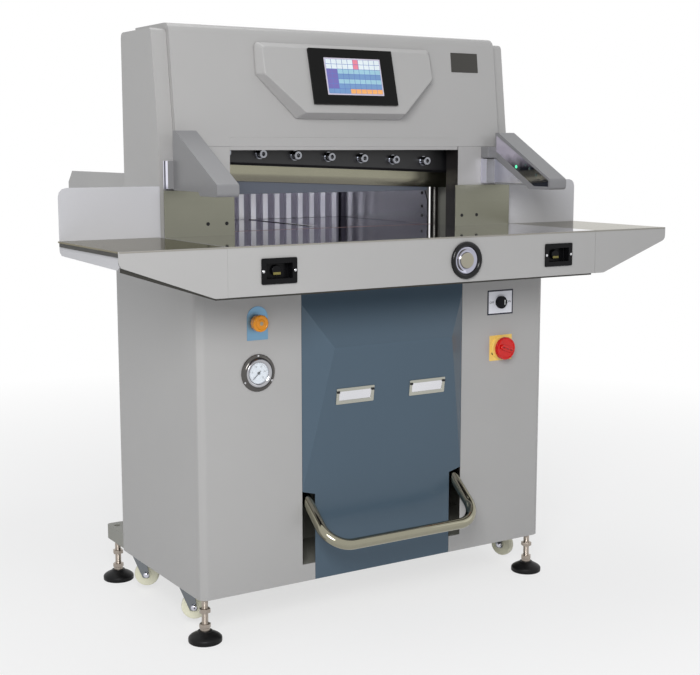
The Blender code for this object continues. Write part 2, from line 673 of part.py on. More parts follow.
def build_main_frame():
    """Base with open corners, two side frames and the beams between them."""
    half = CABINET_HALF - SHEET - GAP
    front = CABINET_FRONT + SHEET + GAP
    bm = prism(
        new(),
        rounded(
            [
                (-half, front, CABINET_CORNER),
                (half, front, CABINET_CORNER),
                (half, BASE_REAR, FRAME_FILLET / 3),
                (half - BASE_CORNER, BASE_REAR, FRAME_FILLET / 3),
                (half - BASE_CORNER, BASE_REAR - BASE_TONGUE, FRAME_FILLET / 3),
                (BASE_CORNER - half, BASE_REAR - BASE_TONGUE, FRAME_FILLET / 3),
                (BASE_CORNER - half, BASE_REAR, FRAME_FILLET / 3),
                (-half, BASE_REAR, FRAME_FILLET / 3),
            ]
        ),
        "Z",
        BASE_UNDERSIDE,
        BASE_TOP,
    )
    frame = make_object("main_frame", bm, painted_frame)
    outline = rounded(
        [
            (LOWER_FRAME_FRONT, BASE_TOP - BITE, 0),
            (LOWER_FRAME_REAR, BASE_TOP - BITE, 0),
            (LOWER_FRAME_REAR, BED_BOTTOM - BED_THICKNESS, FRAME_FILLET),
            (SIDE_FRAME_REAR, BED_BOTTOM, 0),
            (SIDE_FRAME_REAR, SIDE_FRAME_TOP, FRAME_FILLET),
            (TOP_BEAM_FRONT, SIDE_FRAME_TOP, FRAME_FILLET / 3),
            (TOP_BEAM_FRONT, SIDE_FRAME_TOP - TOP_BEAM_HEIGHT, 0),
            (SIDE_FRAME_FRONT, SIDE_FRAME_TOP - TOP_BEAM_HEIGHT, 0),
            (SIDE_FRAME_FRONT, BED_BOTTOM - GAP, 0),
            (LOWER_FRAME_FRONT, BED_BOTTOM - GAP, 0),
        ]
    )
    window = rounded(
        [
            (LOWER_FRAME_FRONT + FRAME_WINDOW / 2, BASE_TOP + FRAME_WINDOW, FRAME_FILLET),
            (LOWER_FRAME_REAR - FRAME_WINDOW / 2, BASE_TOP + FRAME_WINDOW, FRAME_FILLET),
            (LOWER_FRAME_REAR - FRAME_WINDOW / 2, TABLE_BEAM_BOTTOM - FRAME_WINDOW, FRAME_FILLET),
            (LOWER_FRAME_FRONT + FRAME_WINDOW / 2, TABLE_BEAM_BOTTOM - FRAME_WINDOW, FRAME_FILLET),
        ]
    )
    for name, side in SIDES:
        join(frame, prism(new(), outline, "X", side * SIDE_FRAME_INNER, side * SIDE_FRAME_OUTER))
        cut(
            frame,
            prism(
                new(),
                window,
                "X",
                side * (SIDE_FRAME_INNER - OVERRUN),
                side * (SIDE_FRAME_OUTER + OVERRUN),
            ),
        )
    reach = SIDE_FRAME_INNER + BITE
    join(
        frame,
        box(
            new(),
            -reach,
            reach,
            TOP_BEAM_FRONT,
            SIDE_FRAME_REAR - BITE,
            SIDE_FRAME_TOP - TOP_BEAM_HEIGHT,
            SIDE_FRAME_TOP - BITE,
        ),
    )
    join(
        frame,
        box(
            new(),
            -reach,
            reach,
            TABLE_BEAM_FRONT,
            TABLE_BEAM_REAR,
            TABLE_BEAM_BOTTOM,
            BED_BOTTOM - GAP - BITE / 2,
        ),
    )
    notch = BEARING_HALF + ROD_CLEARANCE
    notch_start = SLOT_START - BEARING_LENGTH - ROD_CLEARANCE
    cut(
        frame,
        box(
            new(),
            -notch,
            notch,
            notch_start,
            TABLE_BEAM_REAR + OVERRUN,
            TABLE_BEAM_BOTTOM - OVERRUN,
            BED_BOTTOM,
        ),
    )
    join(frame, caster_plates())
    join(frame, foot_bearings())
    bearing_hole = circle(FOOT_PIVOT_Y, FOOT_PIVOT_Z, FOOT_SHAFT_RADIUS + GAP)
    cut(frame, prism(new(), bearing_hole, "X", -FOOT_SHAFT_HALF - OVERRUN, FOOT_SHAFT_HALF + OVERRUN))
    for name, side in SIDES:
        rod_hole = circle(side * ROD_X, ROD_Y, ROD_RADIUS + ROD_CLEARANCE)
        cut(frame, prism(new(), rod_hole, "Z", CROSSHEAD_TOP, BED_BOTTOM))
        for y in (FOOT_FRONT_Y, FOOT_REAR_Y):
            stud_hole = circle(side * FOOT_X, y, STUD_RADIUS + GAP)
            cut(frame, prism(new(), stud_hole, "Z", BASE_UNDERSIDE - OVERRUN, BASE_TOP + OVERRUN))
        lift_x = side * (half - BASE_CORNER / 2 - BASE_HOLE_RADIUS)
        lift_hole = circle(lift_x, BASE_REAR - BASE_CORNER / 4, BASE_HOLE_RADIUS, SMALL_STEPS)
        cut(frame, prism(new(), lift_hole, "Z", BASE_UNDERSIDE - OVERRUN, BASE_TOP + OVERRUN))
    groove_floor = SIDE_FRAME_FRONT + TONGUE_DEPTH + GAP
    cut(frame, prism(new(), slide_groove(), "Y", SIDE_FRAME_FRONT - OVERRUN, groove_floor))
    return frame


def foot_bearings():
    """The two brackets on the base that the foot bar's shaft turns in."""
    bm = new()
    half = FOOT_BEARING_WIDTH / 2
    top = FOOT_PIVOT_Z + FOOT_BEARING_RISE
    outline = rounded(
        [
            (FOOT_PIVOT_Y - half, BASE_TOP - BITE, 0),
            (FOOT_PIVOT_Y + half, BASE_TOP - BITE, 0),
            (FOOT_PIVOT_Y + half, top, half / 2),
            (FOOT_PIVOT_Y - half, top, half / 2),
        ]
    )
    for name, side in SIDES:
        inner = side * (FOOT_BEARING_X - FOOT_BEARING_THICKNESS / 2)
        prism(bm, outline, "X", inner, side * (FOOT_BEARING_X + FOOT_BEARING_THICKNESS / 2))
    return bm


def caster_plates():
    """The four plates under the base that the casters swivel on."""
    bm = new()
    for name, side in SIDES:
        for y in (CASTER_FRONT_Y, CASTER_REAR_Y):
            outline = rounded_rectangle(
                side * CASTER_X - CASTER_PLATE_HALF,
                side * CASTER_X + CASTER_PLATE_HALF,
                y - CASTER_PLATE_HALF * 3 / 2,
                y + CASTER_PLATE_HALF * 3 / 2,
                BOX_CORNER,
            )
            prism(bm, outline, "Z", BASE_UNDERSIDE - CASTER_PLATE_THICKNESS, BASE_UNDERSIDE + BITE)
    return bm


def slide_groove():
    """The slanted groove of the slide block's tongue, in the front of the right side frame."""
    along = Vector((math.sin(KNIFE_SLANT), -math.cos(KNIFE_SLANT)))
    across = Vector((along.y, -along.x)) * (TONGUE_HALF + GAP)
    top = Vector((PIN_X, PIN_Z)) - along * (SLIDE_BLOCK_HEIGHT / 2 + GAP)
    bottom = Vector((PIN_X, PIN_Z)) + along * (SLIDE_BLOCK_HEIGHT / 2 + KNIFE_STROKE + TONGUE_HALF)
    return [tuple(top - across), tuple(top + across), tuple(bottom + across), tuple(bottom - across)]


def build_cabinet(name, side):
    """One lower cabinet: front, outer side and rear of one folded sheet, with the foot bar's notch."""
    outer = CABINET_HALF
    inner = outer - SHEET
    corner = CABINET_CORNER
    outline = rounded(
        [
            (CABINET_INNER, CABINET_FRONT, 0),
            (outer, CABINET_FRONT, corner),
            (outer, CABINET_REAR, corner / 2),
            (CABINET_INNER, CABINET_REAR, 0),
            (CABINET_INNER, CABINET_REAR - SHEET, 0),
            (inner, CABINET_REAR - SHEET, corner / 2 - SHEET),
            (inner, CABINET_FRONT + SHEET, corner - SHEET),
            (CABINET_INNER, CABINET_FRONT + SHEET, 0),
        ]
    )
    bm = prism(new(), mirrored(outline, side), "Z", CABINET_BOTTOM, CABINET_TOP)
    cabinet = make_object(f"{name}_cabinet", bm, painted_light)
    join(
        cabinet,
        box(
            new(),
            side * SLOT_INNER,
            side * (CABINET_INNER + SHEET),
            CABINET_FRONT,
            CABINET_FRONT + SHEET,
            CABINET_BOTTOM,
            SLOT_BOTTOM,
        ),
    )
    join(
        cabinet,
        box(
            new(),
            side * CABINET_INNER,
            side * (outer - BITE),
            BED_REAR_START + SHEET,
            CABINET_REAR - BITE,
            CABINET_TOP - SHEET,
            CABINET_TOP,
        ),
    )
    cut(
        cabinet,
        box(
            new(),
            side * (CABINET_INNER - OVERRUN),
            side * (inner + GAP),
            CABINET_REAR - OVERRUN,
            CABINET_REAR + OVERRUN,
            CABINET_BOTTOM - OVERRUN,
            BASE_TOP + GAP,
        ),
    )
    if side < 0:
        dial_hole = circle(DIAL_X, DIAL_Z, DIAL_RADIUS + GAP, FINE_STEPS)
        cut(cabinet, prism(new(), dial_hole, "Y", CABINET_FRONT - OVERRUN, CABINET_FRONT + OVERRUN))
    return cabinet


def build_centre_panel():
    """The blue panel: folded sheet that stands out at its knee and falls back to the foot bar."""
    x = CABINET_INNER - GAP * 2
    knee = PANEL_KNEE_X
    low = SLOT_INNER - GAP * 2
    front = CABINET_FRONT
    points = {
        "top": (x, front, PANEL_TOP),
        "fold": (x, front, PANEL_FOLD),
        "knee": (knee, PANEL_KNEE_Y, PANEL_KNEE_Z),
        "edge": (x, front, PANEL_SKIRT),
        "crease": (low, front, PANEL_CREASE),
        "foot": (low, front, CABINET_BOTTOM),
    }
    faces = [
        ("-top", "top", "fold", "-fold"),
        ("-fold", "fold", "knee", "-knee"),
        ("-knee", "knee", "crease", "-crease"),
        ("-crease", "crease", "foot", "-foot"),
        ("fold", "edge", "knee"),
        ("edge", "crease", "knee"),
        ("-fold", "-knee", "-edge"),
        ("-edge", "-knee", "-crease"),
    ]
    bm = new()
    layers = []
    for depth in (0, SHEET):
        layer = {}
        for key, (px, py, pz) in points.items():
            layer[key] = bm.verts.new((px, py + depth, pz))
            layer["-" + key] = bm.verts.new((-px, py + depth, pz))
        for face in faces:
            bm.faces.new([layer[key] for key in face])
        layers.append(layer)
    rim = ["-top", "top", "fold", "edge", "crease", "foot", "-foot", "-crease", "-edge", "-fold"]
    for i, key in enumerate(rim):
        following = rim[(i + 1) % len(rim)]
        bm.faces.new((layers[0][key], layers[0][following], layers[1][following], layers[1][key]))
    panel = make_object("centre_panel", bm, painted_blue)
    for name, side in SIDES:
        cut(panel, handle_box(side, GAP, -OVERRUN, HANDLE_DEPTH + OVERRUN))
    return panel


def panel_frame():
    """The place and lean of the panel's face at the pull handles."""
    share = (PANEL_KNEE_Z - HANDLE_CENTRE_Z) / (PANEL_KNEE_Z - PANEL_CREASE)
    y = PANEL_KNEE_Y + (CABINET_FRONT - PANEL_KNEE_Y) * share
    lean = math.atan2(CABINET_FRONT - PANEL_KNEE_Y, PANEL_KNEE_Z - PANEL_CREASE)
    return Vector((0, y, HANDLE_CENTRE_Z)), lean


def lay_on_panel(bm):
    """Turns a mesh drawn flat at the origin, facing -Y, onto the panel's leaning face."""
    centre, lean = panel_frame()
    turn = Matrix.Rotation(lean, 4, "X")
    bmesh.ops.transform(bm, matrix=Matrix.Translation(centre) @ turn, verts=bm.verts)
    return bm


def handle_box(side, margin, front, back):
    """The part of a pull handle that passes through the panel."""
    half_width = HANDLE_WIDTH / 2 - HANDLE_FLANGE + margin
    half_height = HANDLE_HEIGHT / 2 - HANDLE_FLANGE + margin
    middle = side * HANDLE_CENTRE_X
    bm = box(new(), middle - half_width, middle + half_width, front, back, -half_height, half_height)
    return lay_on_panel(bm)


def build_pull_handle(name, side):
    """One flush pull cup, with a flange on the panel and a well behind it."""
    middle = side * HANDLE_CENTRE_X
    outline = rounded_rectangle(
        middle - HANDLE_WIDTH / 2,
        middle + HANDLE_WIDTH / 2,
        -HANDLE_HEIGHT / 2,
        HANDLE_HEIGHT / 2,
        HANDLE_FLANGE / 3,
    )
    bm = prism(new(), outline, "Y", -HANDLE_PROUD - GAP, -GAP)
    handle = make_object(f"pull_handle_{name}", lay_on_panel(bm), bright_metal)
    join(handle, handle_box(side, 0, -GAP * 2, HANDLE_DEPTH))
    cut(handle, handle_box(side, -HANDLE_PROUD, -OVERRUN, HANDLE_DEPTH - HANDLE_PROUD))
    return handle


def build_table_bed():
    """The bed: wide in front, narrow between the posts and wide again behind them."""
    rear = REAR_REACH - SHEET - GAP
    plates = POST_PLANE - GUIDE_PLATE_THICKNESS - GAP
    half = [
        (BED_HALF, BED_FRONT, 0),
        (BED_HALF, plates, 0),
        (GUIDE_PLATE_INNER - GAP, plates, 0),
        (GUIDE_PLATE_INNER - GAP, POST_PLANE, 0),
        (BED_THROAT, POST_PLANE, 0),
        (BED_THROAT, BED_REAR_START, 0),
        (BED_REAR_HALF, BED_REAR_START, 0),
        (BED_REAR_HALF, rear, 0),
    ]
    outline = rounded(half + [(-x, y, r) for x, y, r in reversed(half)])
    bed = make_object("table_bed", prism(new(), outline, "Z", BED_BOTTOM, TABLE_HEIGHT), polished_steel)
    screw_hole = circle(0, SCREW_Z, SCREW_RADIUS + GAP)
    for start in (SLOT_START - BEARING_LENGTH, SLOT_END + GAP):
        block = box(
            new(),
            -BEARING_HALF,
            BEARING_HALF,
            start,
            start + BEARING_LENGTH,
            SCREW_Z - BEARING_LENGTH,
            BED_BOTTOM + BITE,
        )
        join(bed, block)
    cut(bed, prism(new(), screw_hole, "Y", SLOT_START - OVERRUN * 2, SLOT_END + OVERRUN * 2))
    cut(
        bed,
        box(
            new(),
            -GAUGE_SLOT_HALF,
            GAUGE_SLOT_HALF,
            SLOT_START,
            SLOT_END,
            BED_BOTTOM - OVERRUN,
            TABLE_HEIGHT + OVERRUN,
        ),
    )
    cut(
        bed,
        box(
            new(),
            -BED_THROAT - OVERRUN,
            BED_THROAT + OVERRUN,
            STICK_Y - STICK_WIDTH / 2 - GAP,
            STICK_Y + STICK_WIDTH / 2 + GAP,
            TABLE_HEIGHT - STICK_DEPTH - GAP,
            TABLE_HEIGHT + OVERRUN,
        ),
    )
    return bed


def build_cutting_stick():
    bm = box(
        new(),
        -STICK_HALF,
        STICK_HALF,
        STICK_Y - STICK_WIDTH / 2,
        STICK_Y + STICK_WIDTH / 2,
        TABLE_HEIGHT - STICK_DEPTH,
        TABLE_HEIGHT,
    )
    return make_object("cutting_stick", bm, red_plastic)


def build_apron():
    """The bed's front sheet, with a return flange below and holes for the controls."""
    half = BED_HALF
    bm = box(new(), -half, half, APRON_FACE, APRON_FACE + SHEET, APRON_BOTTOM, TABLE_HEIGHT)
    apron = make_object("table_apron", bm, painted_light)
    join(
        apron,
        box(
            new(),
            -half,
            half,
            APRON_FACE + SHEET / 2,
            APRON_FACE + BED_THICKNESS,
            APRON_BOTTOM,
            APRON_BOTTOM + SHEET,
        ),
    )
    for name, side in SIDES:
        middle = side * BOX_X
        half_width = BOX_WIDTH / 2 - BOX_MARGIN + GAP
        half_height = BOX_HEIGHT / 2 - BOX_MARGIN + GAP
        cut(
            apron,
            box(
                new(),
                middle - half_width,
                middle + half_width,
                APRON_FACE - OVERRUN,
                APRON_FACE + OVERRUN,
                BOX_Z - half_height,
                BOX_Z + half_height,
            ),
        )
    return apron


def build_side_table(name, side):
    """One side table: its top, tapered front wing and two ribs."""
    inner = BED_HALF + GAP
    outer = TABLE_HALF
    wing_tip = TABLE_HEIGHT - WING_TIP_HEIGHT
    wing = rounded(
        [
            (inner, APRON_BOTTOM, 0),
            (WING_FLAT_HALF, APRON_BOTTOM, WING_CORNER),
            (outer, wing_tip - WING_CORNER / 2, WING_CORNER),
            (outer, TABLE_HEIGHT, 0),
            (inner, TABLE_HEIGHT, 0),
        ]
    )
    bm = prism(new(), mirrored(wing, side), "Y", APRON_FACE, APRON_FACE + SHEET)
    table = make_object(f"side_table_{name}", bm, painted_light)
    join(
        table,
        box(
            new(),
            side * (inner + GAP),
            side * (outer - GAP),
            APRON_FACE + SHEET / 2,
            FENCE_FRONT - GAP,
            TABLE_HEIGHT - SIDE_TOP_THICKNESS,
            TABLE_HEIGHT - GAP,
        ),
    )
    ribs = new()
    for y in (APRON_FACE / 4, APRON_FACE * 3 / 4):
        box(
            ribs,
            side * (inner + GAP * 2),
            side * (SKIRT_OUTER - SHEET - GAP),
            y,
            y + SIDE_RIB_WIDTH,
            TABLE_HEIGHT - SIDE_RIB_DEPTH,
            TABLE_HEIGHT - SIDE_TOP_THICKNESS / 2,
        )
    join(table, ribs)
    return table


def build_side_fence(name, side):
    """One side fence, of one sheet with the skirt under the table's outer edge."""
    inner = BODY_HALF + GAP * 2
    outer = SKIRT_OUTER
    fence = rounded(
        [
            (inner, SKIRT_BOTTOM, 0),
            (outer, SKIRT_BOTTOM, FENCE_CORNER / 2),
            (outer, FENCE_TOP, FENCE_CORNER),
            (inner, FENCE_TOP, 0),
        ]
    )
    bm = prism(new(), mirrored(fence, side), "Y", FENCE_FRONT, FENCE_FRONT + SHEET)
    obj = make_object(f"side_fence_{name}", bm, painted_light)
    top = TABLE_HEIGHT - SIDE_TOP_THICKNESS - SKIRT_DROP
    skirt = [
        (FENCE_FRONT + SHEET / 2, SKIRT_BOTTOM + FENCE_CORNER / 2),
        (FENCE_FRONT - FENCE_CORNER / 2, SKIRT_BOTTOM),
        (APRON_FACE + FENCE_CORNER, SKIRT_BOTTOM),
        (APRON_FACE + SHEET + GAP, SKIRT_BOTTOM + FENCE_CORNER / 2),
        (APRON_FACE + SHEET + GAP, top),
        (FENCE_FRONT + SHEET / 2, top),
    ]
    join(obj, prism(new(), skirt, "X", side * (outer - SHEET), side * outer))
    return obj


def build_guide_plate(name, side):
    """One stainless plate on the post's face, its foot behind the bed's edge."""
    bm = box(
        new(),
        side * GUIDE_PLATE_INNER,
        side * GUIDE_PLATE_OUTER,
        POST_PLANE - GUIDE_PLATE_THICKNESS,
        POST_PLANE,
        TABLE_HEIGHT - GUIDE_PLATE_THICKNESS,
        GUIDE_PLATE_TOP,
    )
    return make_object(f"guide_plate_{name}", bm, polished_steel)


def build_rear_guide_wall(name, side):
    """One polished wall beside the backgauge, with a cut front corner and a foot flange."""
    outline = [
        (WALL_FRONT, TABLE_HEIGHT + GAP),
        (WALL_REAR, TABLE_HEIGHT + GAP),
        (WALL_REAR, WALL_TOP),
        (WALL_FRONT + WALL_CHAMFER, WALL_TOP),
        (WALL_FRONT, WALL_TOP - WALL_CHAMFER * 2),
    ]
    bm = prism(new(), outline, "X", side * CUT_HALF, side * (CUT_HALF + WALL_THICKNESS))
    wall = make_object(f"rear_guide_wall_{name}", bm, polished_steel)
    flange = box(
        new(),
        side * (CUT_HALF + WALL_THICKNESS / 2),
        side * (CUT_HALF + WALL_CHAMFER),
        BED_REAR_START + WALL_CHAMFER,
        WALL_REAR - BITE,
        TABLE_HEIGHT + GAP,
        TABLE_HEIGHT + GAP + WALL_THICKNESS,
    )
    join(wall, flange)
    return wall


def build_rear_table_cover():
    """The painted sheet round the rear table: two side walls and the rear wall."""
    half = REAR_COVER_HALF
    start = BED_REAR_START + GAP
    outline = [
        (half, start),
        (half, REAR_REACH),
        (-half, REAR_REACH),
        (-half, start),
        (SHEET - half, start),
        (SHEET - half, REAR_REACH - SHEET),
        (half - SHEET, REAR_REACH - SHEET),
        (half - SHEET, start),
    ]
    bm = prism(new(), outline, "Z", REAR_COVER_BOTTOM, REAR_COVER_TOP)
    cover = make_object("rear_table_cover", bm, painted_light)
    corner = [
        (REAR_REACH + OVERRUN, REAR_COVER_TOP + OVERRUN),
        (REAR_REACH - REAR_COVER_CHAMFER - OVERRUN, REAR_COVER_TOP + OVERRUN),
        (REAR_REACH - REAR_COVER_CHAMFER, REAR_COVER_TOP),
        (REAR_REACH, REAR_COVER_TOP - REAR_COVER_CHAMFER),
        (REAR_REACH + OVERRUN, REAR_COVER_TOP - REAR_COVER_CHAMFER),
    ]
    cut(cover, prism(new(), corner, "X", -half - OVERRUN, half + OVERRUN))
    cut(
        cover,
        box(
            new(),
            -half - OVERRUN,
            half + OVERRUN,
            start - OVERRUN,
            CABINET_REAR + GAP,
            REAR_COVER_BOTTOM - OVERRUN,
            CABINET_TOP + GAP,
        ),
    )
    return cover


def build_backgauge():
    """The comb of the backgauge, its stem through the bed's slot and the nut under it."""
    body_front = GAUGE_FACE + FINGER_DEPTH
    body_rear = body_front + GAUGE_BODY
    foot = TABLE_HEIGHT + GAP * 2
    first = -FINGER_PITCH * (FINGER_COUNT - 1) / 2
    outline = [(-GAUGE_HALF, body_rear), (-GAUGE_HALF, body_front)]
    for i in range(FINGER_COUNT):
        x = first + i * FINGER_PITCH
        outline += [
            (x - FINGER_WIDTH / 2, body_front),
            (x - FINGER_WIDTH / 2, GAUGE_FACE),
            (x + FINGER_WIDTH / 2, GAUGE_FACE),
            (x + FINGER_WIDTH / 2, body_front),
        ]
    outline += [(GAUGE_HALF, body_front), (GAUGE_HALF, body_rear)]
    gauge = make_object("backgauge", prism(new(), outline, "Z", foot, GAUGE_TOP), aluminium)
    stem_front = body_front
    stem_rear = stem_front + GAUGE_STEM_LENGTH
    join(
        gauge,
        box(
            new(),
            -GAUGE_STEM_HALF,
            GAUGE_STEM_HALF,
            stem_front,
            stem_rear,
            BED_BOTTOM - BED_THICKNESS / 2,
            foot + BITE,
        ),
    )
    nut_top = BED_BOTTOM - GAP * 2
    join(
        gauge,
        box(
            new(),
            -NUT_HALF,
            NUT_HALF,
            stem_front - BITE,
            stem_rear + BITE,
            nut_top - NUT_HEIGHT,
            nut_top,
        ),
    )
    hole = circle(0, SCREW_Z, SCREW_RADIUS + GAP)
    cut(gauge, prism(new(), hole, "Y", stem_front - OVERRUN, stem_rear + OVERRUN))
    return gauge


def build_lead_screw():
    """The screw that drives the backgauge, in its two bearings, with the pulley behind."""
    start = SLOT_START - BEARING_LENGTH
    end = REAR_REACH - SHEET - GAP * 2
    journal = SCREW_RADIUS * 2 / 3
    profile = [
        (0, start),
        (journal, start),
        (SCREW_RADIUS, start + (SCREW_RADIUS - journal)),
        (SCREW_RADIUS, end - BITE),
        (journal, end),
        (0, end),
    ]
    bm = lathe(new(), profile, "Y", (0, 0, SCREW_Z))
    return make_object("lead_screw", bm, bright_metal, (0, SLOT_END, SCREW_Z))


def lay_on_knife(bm):
    """Tilts a mesh drawn level about the middle of the blade's edge."""
    centre = Vector((0, 0, BLADE_EDGE_Z))
    turn = Matrix.Translation(centre) @ Matrix.Rotation(KNIFE_TILT, 4, "Y") @ Matrix.Translation(-centre)
    bmesh.ops.transform(bm, matrix=turn, verts=bm.verts)
    return bm


def knife_pin():
    return (PIN_X, BEAM_FRONT, PIN_Z)


def bolt_heads():
    """The row of socket heads along the beam."""
    bm = new()
    head = BOLT_HEAD_HEIGHT
    for i in range(BOLT_COUNT):
        x = BOLT_FIRST + i * BOLT_PITCH
        profile = [
            (0, BITE),
            (BOLT_HEAD_RADIUS, BITE),
            (BOLT_HEAD_RADIUS, BITE - head),
            (BOLT_HEAD_RADIUS - BITE, -head),
            (BOLT_SOCKET_RADIUS, -head),
            (BOLT_SOCKET_RADIUS, -head / 2),
            (0, -head / 2),
        ]
        lathe(bm, profile, "Y", (x, BEAM_FRONT, BLADE_EDGE_Z + BOLT_RISE), SMALL_STEPS)
    return lay_on_knife(bm)


def build_knife_beam():
    """The black beam that carries the blade on its row of bolts, with a hole for the slide block's pin."""
    bottom = BLADE_EDGE_Z + BEAM_RISE
    top = bottom + BEAM_HEIGHT
    profile = [
        (BEAM_FRONT + BEAM_CHAMFER, bottom),
        (BEAM_REAR, bottom),
        (BEAM_REAR, top),
        (BEAM_FRONT + BEAM_CHAMFER, top),
        (BEAM_FRONT, top - BEAM_CHAMFER),
        (BEAM_FRONT, bottom + BEAM_CHAMFER),
    ]
    bm = lay_on_knife(prism(new(), profile, "X", BEAM_LEFT, BEAM_RIGHT))
    beam = make_object("knife_beam", bm, black_steel, knife_pin())
    join(beam, bolt_heads())
    hole = circle(PIN_X, PIN_Z, PIN_RADIUS + GAP)
    cut(beam, prism(new(), hole, "Y", BEAM_FRONT - OVERRUN, BEAM_REAR + OVERRUN))
    return beam


def build_knife_blade():
    """The blade: a bar ground to its edge on the front, flat on the cutting side."""
    front = KNIFE_REAR - BLADE_THICKNESS
    edge = BLADE_EDGE_Z
    profile = [
        (KNIFE_REAR, edge),
        (KNIFE_REAR, edge + BLADE_HEIGHT),
        (front, edge + BLADE_HEIGHT),
        (front, edge + BLADE_BEVEL),
        (KNIFE_REAR - GAP, edge),
    ]
    bm = lay_on_knife(prism(new(), profile, "X", BLADE_LEFT, BLADE_RIGHT))
    return make_object("knife_blade", bm, bright_metal, knife_pin())


def build_slide_block():
    """The block that runs in the side frame's slanted groove and carries the beam on its pin."""
    along = Vector((math.sin(KNIFE_SLANT), -math.cos(KNIFE_SLANT)))
    across = Vector((along.y, -along.x))
    middle = Vector((PIN_X, PIN_Z))

    def bar(half_width):
        reach = along * SLIDE_BLOCK_HEIGHT / 2
        side = across * half_width
        return [
            tuple(middle - reach - side),
            tuple(middle - reach + side),
            tuple(middle + reach + side),
            tuple(middle + reach - side),
        ]

    back = SIDE_FRAME_FRONT - GAP
    bm = prism(new(), bar(SLIDE_BLOCK_HALF), "Y", BEAM_REAR + GAP, back)
    block = make_object("knife_slide_block", bm, bright_metal, (PIN_X, back, PIN_Z))
    join(block, prism(new(), bar(TONGUE_HALF), "Y", back - BITE, SIDE_FRAME_FRONT + TONGUE_DEPTH))
    pin = circle(PIN_X, PIN_Z, PIN_RADIUS)
    join(block, prism(new(), pin, "Y", BEAM_FRONT + BITE, back - BITE))
    return block


def build_clamp_beam():
    """The pressing beam behind the knife, ribbed at the back, with wings for the pull rods."""
    bm = box(new(), -CLAMP_HALF, CLAMP_HALF, CLAMP_FRONT, CLAMP_REAR, CLAMP_BOTTOM, CLAMP_TOP)
    clamp = make_object("clamp_beam", bm, painted_blue)
    join(
        clamp,
        box(
            new(),
            -CLAMP_WING_HALF,
            CLAMP_WING_HALF,
            CLAMP_FRONT + BITE,
            CLAMP_REAR - BITE,
            CLAMP_WING_BOTTOM,
            CLAMP_TOP - BITE,
        ),
    )
    pockets = new()
    width = 2 * CLAMP_HALF / CLAMP_RIB_COUNT
    for i in range(CLAMP_RIB_COUNT):
        start = -CLAMP_HALF + i * width
        box(
            pockets,
            start + CLAMP_RIB_DEPTH / 2,
            start + width - CLAMP_RIB_DEPTH / 2,
            CLAMP_REAR - CLAMP_RIB_DEPTH,
            CLAMP_REAR + OVERRUN,
            CLAMP_BOTTOM + CLAMP_RIB_DEPTH,
            CLAMP_WING_BOTTOM - CLAMP_RIB_DEPTH,
        )
    cut(clamp, pockets)
    return clamp


def build_clamp_pull_yoke():
    """Two side rods, the crosshead under the table and the clamp's piston rod on it."""
    bm = box(
        new(),
        -CROSSHEAD_HALF,
        CROSSHEAD_HALF,
        ROD_Y - CROSSHEAD_DEPTH / 2,
        ROD_Y + CROSSHEAD_DEPTH / 2,
        CROSSHEAD_TOP - CROSSHEAD_HEIGHT,
        CROSSHEAD_TOP,
    )
    yoke = make_object("clamp_pull_yoke", bm, bright_metal)
    rods = new()
    for name, side in SIDES:
        spot = circle(side * ROD_X, ROD_Y, ROD_RADIUS)
        prism(rods, spot, "Z", CROSSHEAD_TOP - BITE, CLAMP_WING_BOTTOM - GAP)
    piston = circle(0, ROD_Y, PISTON_RADIUS)
    prism(rods, piston, "Z", CROSSHEAD_TOP - BITE, CROSSHEAD_TOP + PISTON_LENGTH)
    join(yoke, rods)
    return yoke


def build_clamp_cylinder():
    """The clamp's cylinder under the table's beam, open below for the piston rod."""
    top = TABLE_BEAM_BOTTOM - GAP
    bore = PISTON_RADIUS + GAP
    ceiling = CROSSHEAD_TOP + PISTON_LENGTH + ROD_CLEARANCE
    flange = CYLINDER_RADIUS + ROD_CLEARANCE * 4
    profile = [
        (0, ceiling),
        (bore, ceiling),
        (bore, CYLINDER_BOTTOM),
        (CYLINDER_RADIUS, CYLINDER_BOTTOM),
        (CYLINDER_RADIUS, top - ROD_RADIUS),
        (flange, top - ROD_RADIUS),
        (flange, top),
        (0, top),
    ]
    return make_object("clamp_cylinder", lathe(new(), profile, "Z", (0, ROD_Y, 0)), dark_steel)


def build_knife_cylinder():
    """The knife's cylinder with its rod, under the table's beam beside the right side frame."""
    top = TABLE_BEAM_BOTTOM - GAP
    bottom = KNIFE_CYLINDER_BOTTOM
    flange = CYLINDER_RADIUS + ROD_CLEARANCE * 4
    profile = [
        (0, bottom - KNIFE_ROD_LENGTH),
        (ROD_RADIUS, bottom - KNIFE_ROD_LENGTH),
        (ROD_RADIUS, bottom),
        (CYLINDER_RADIUS, bottom),
        (CYLINDER_RADIUS, top - ROD_RADIUS),
        (flange, top - ROD_RADIUS),
        (flange, top),
        (0, top),
    ]
    bm = lathe(new(), profile, "Z", (KNIFE_CYLINDER_X, KNIFE_CYLINDER_Y, 0))
    return make_object("knife_cylinder", bm, dark_steel)


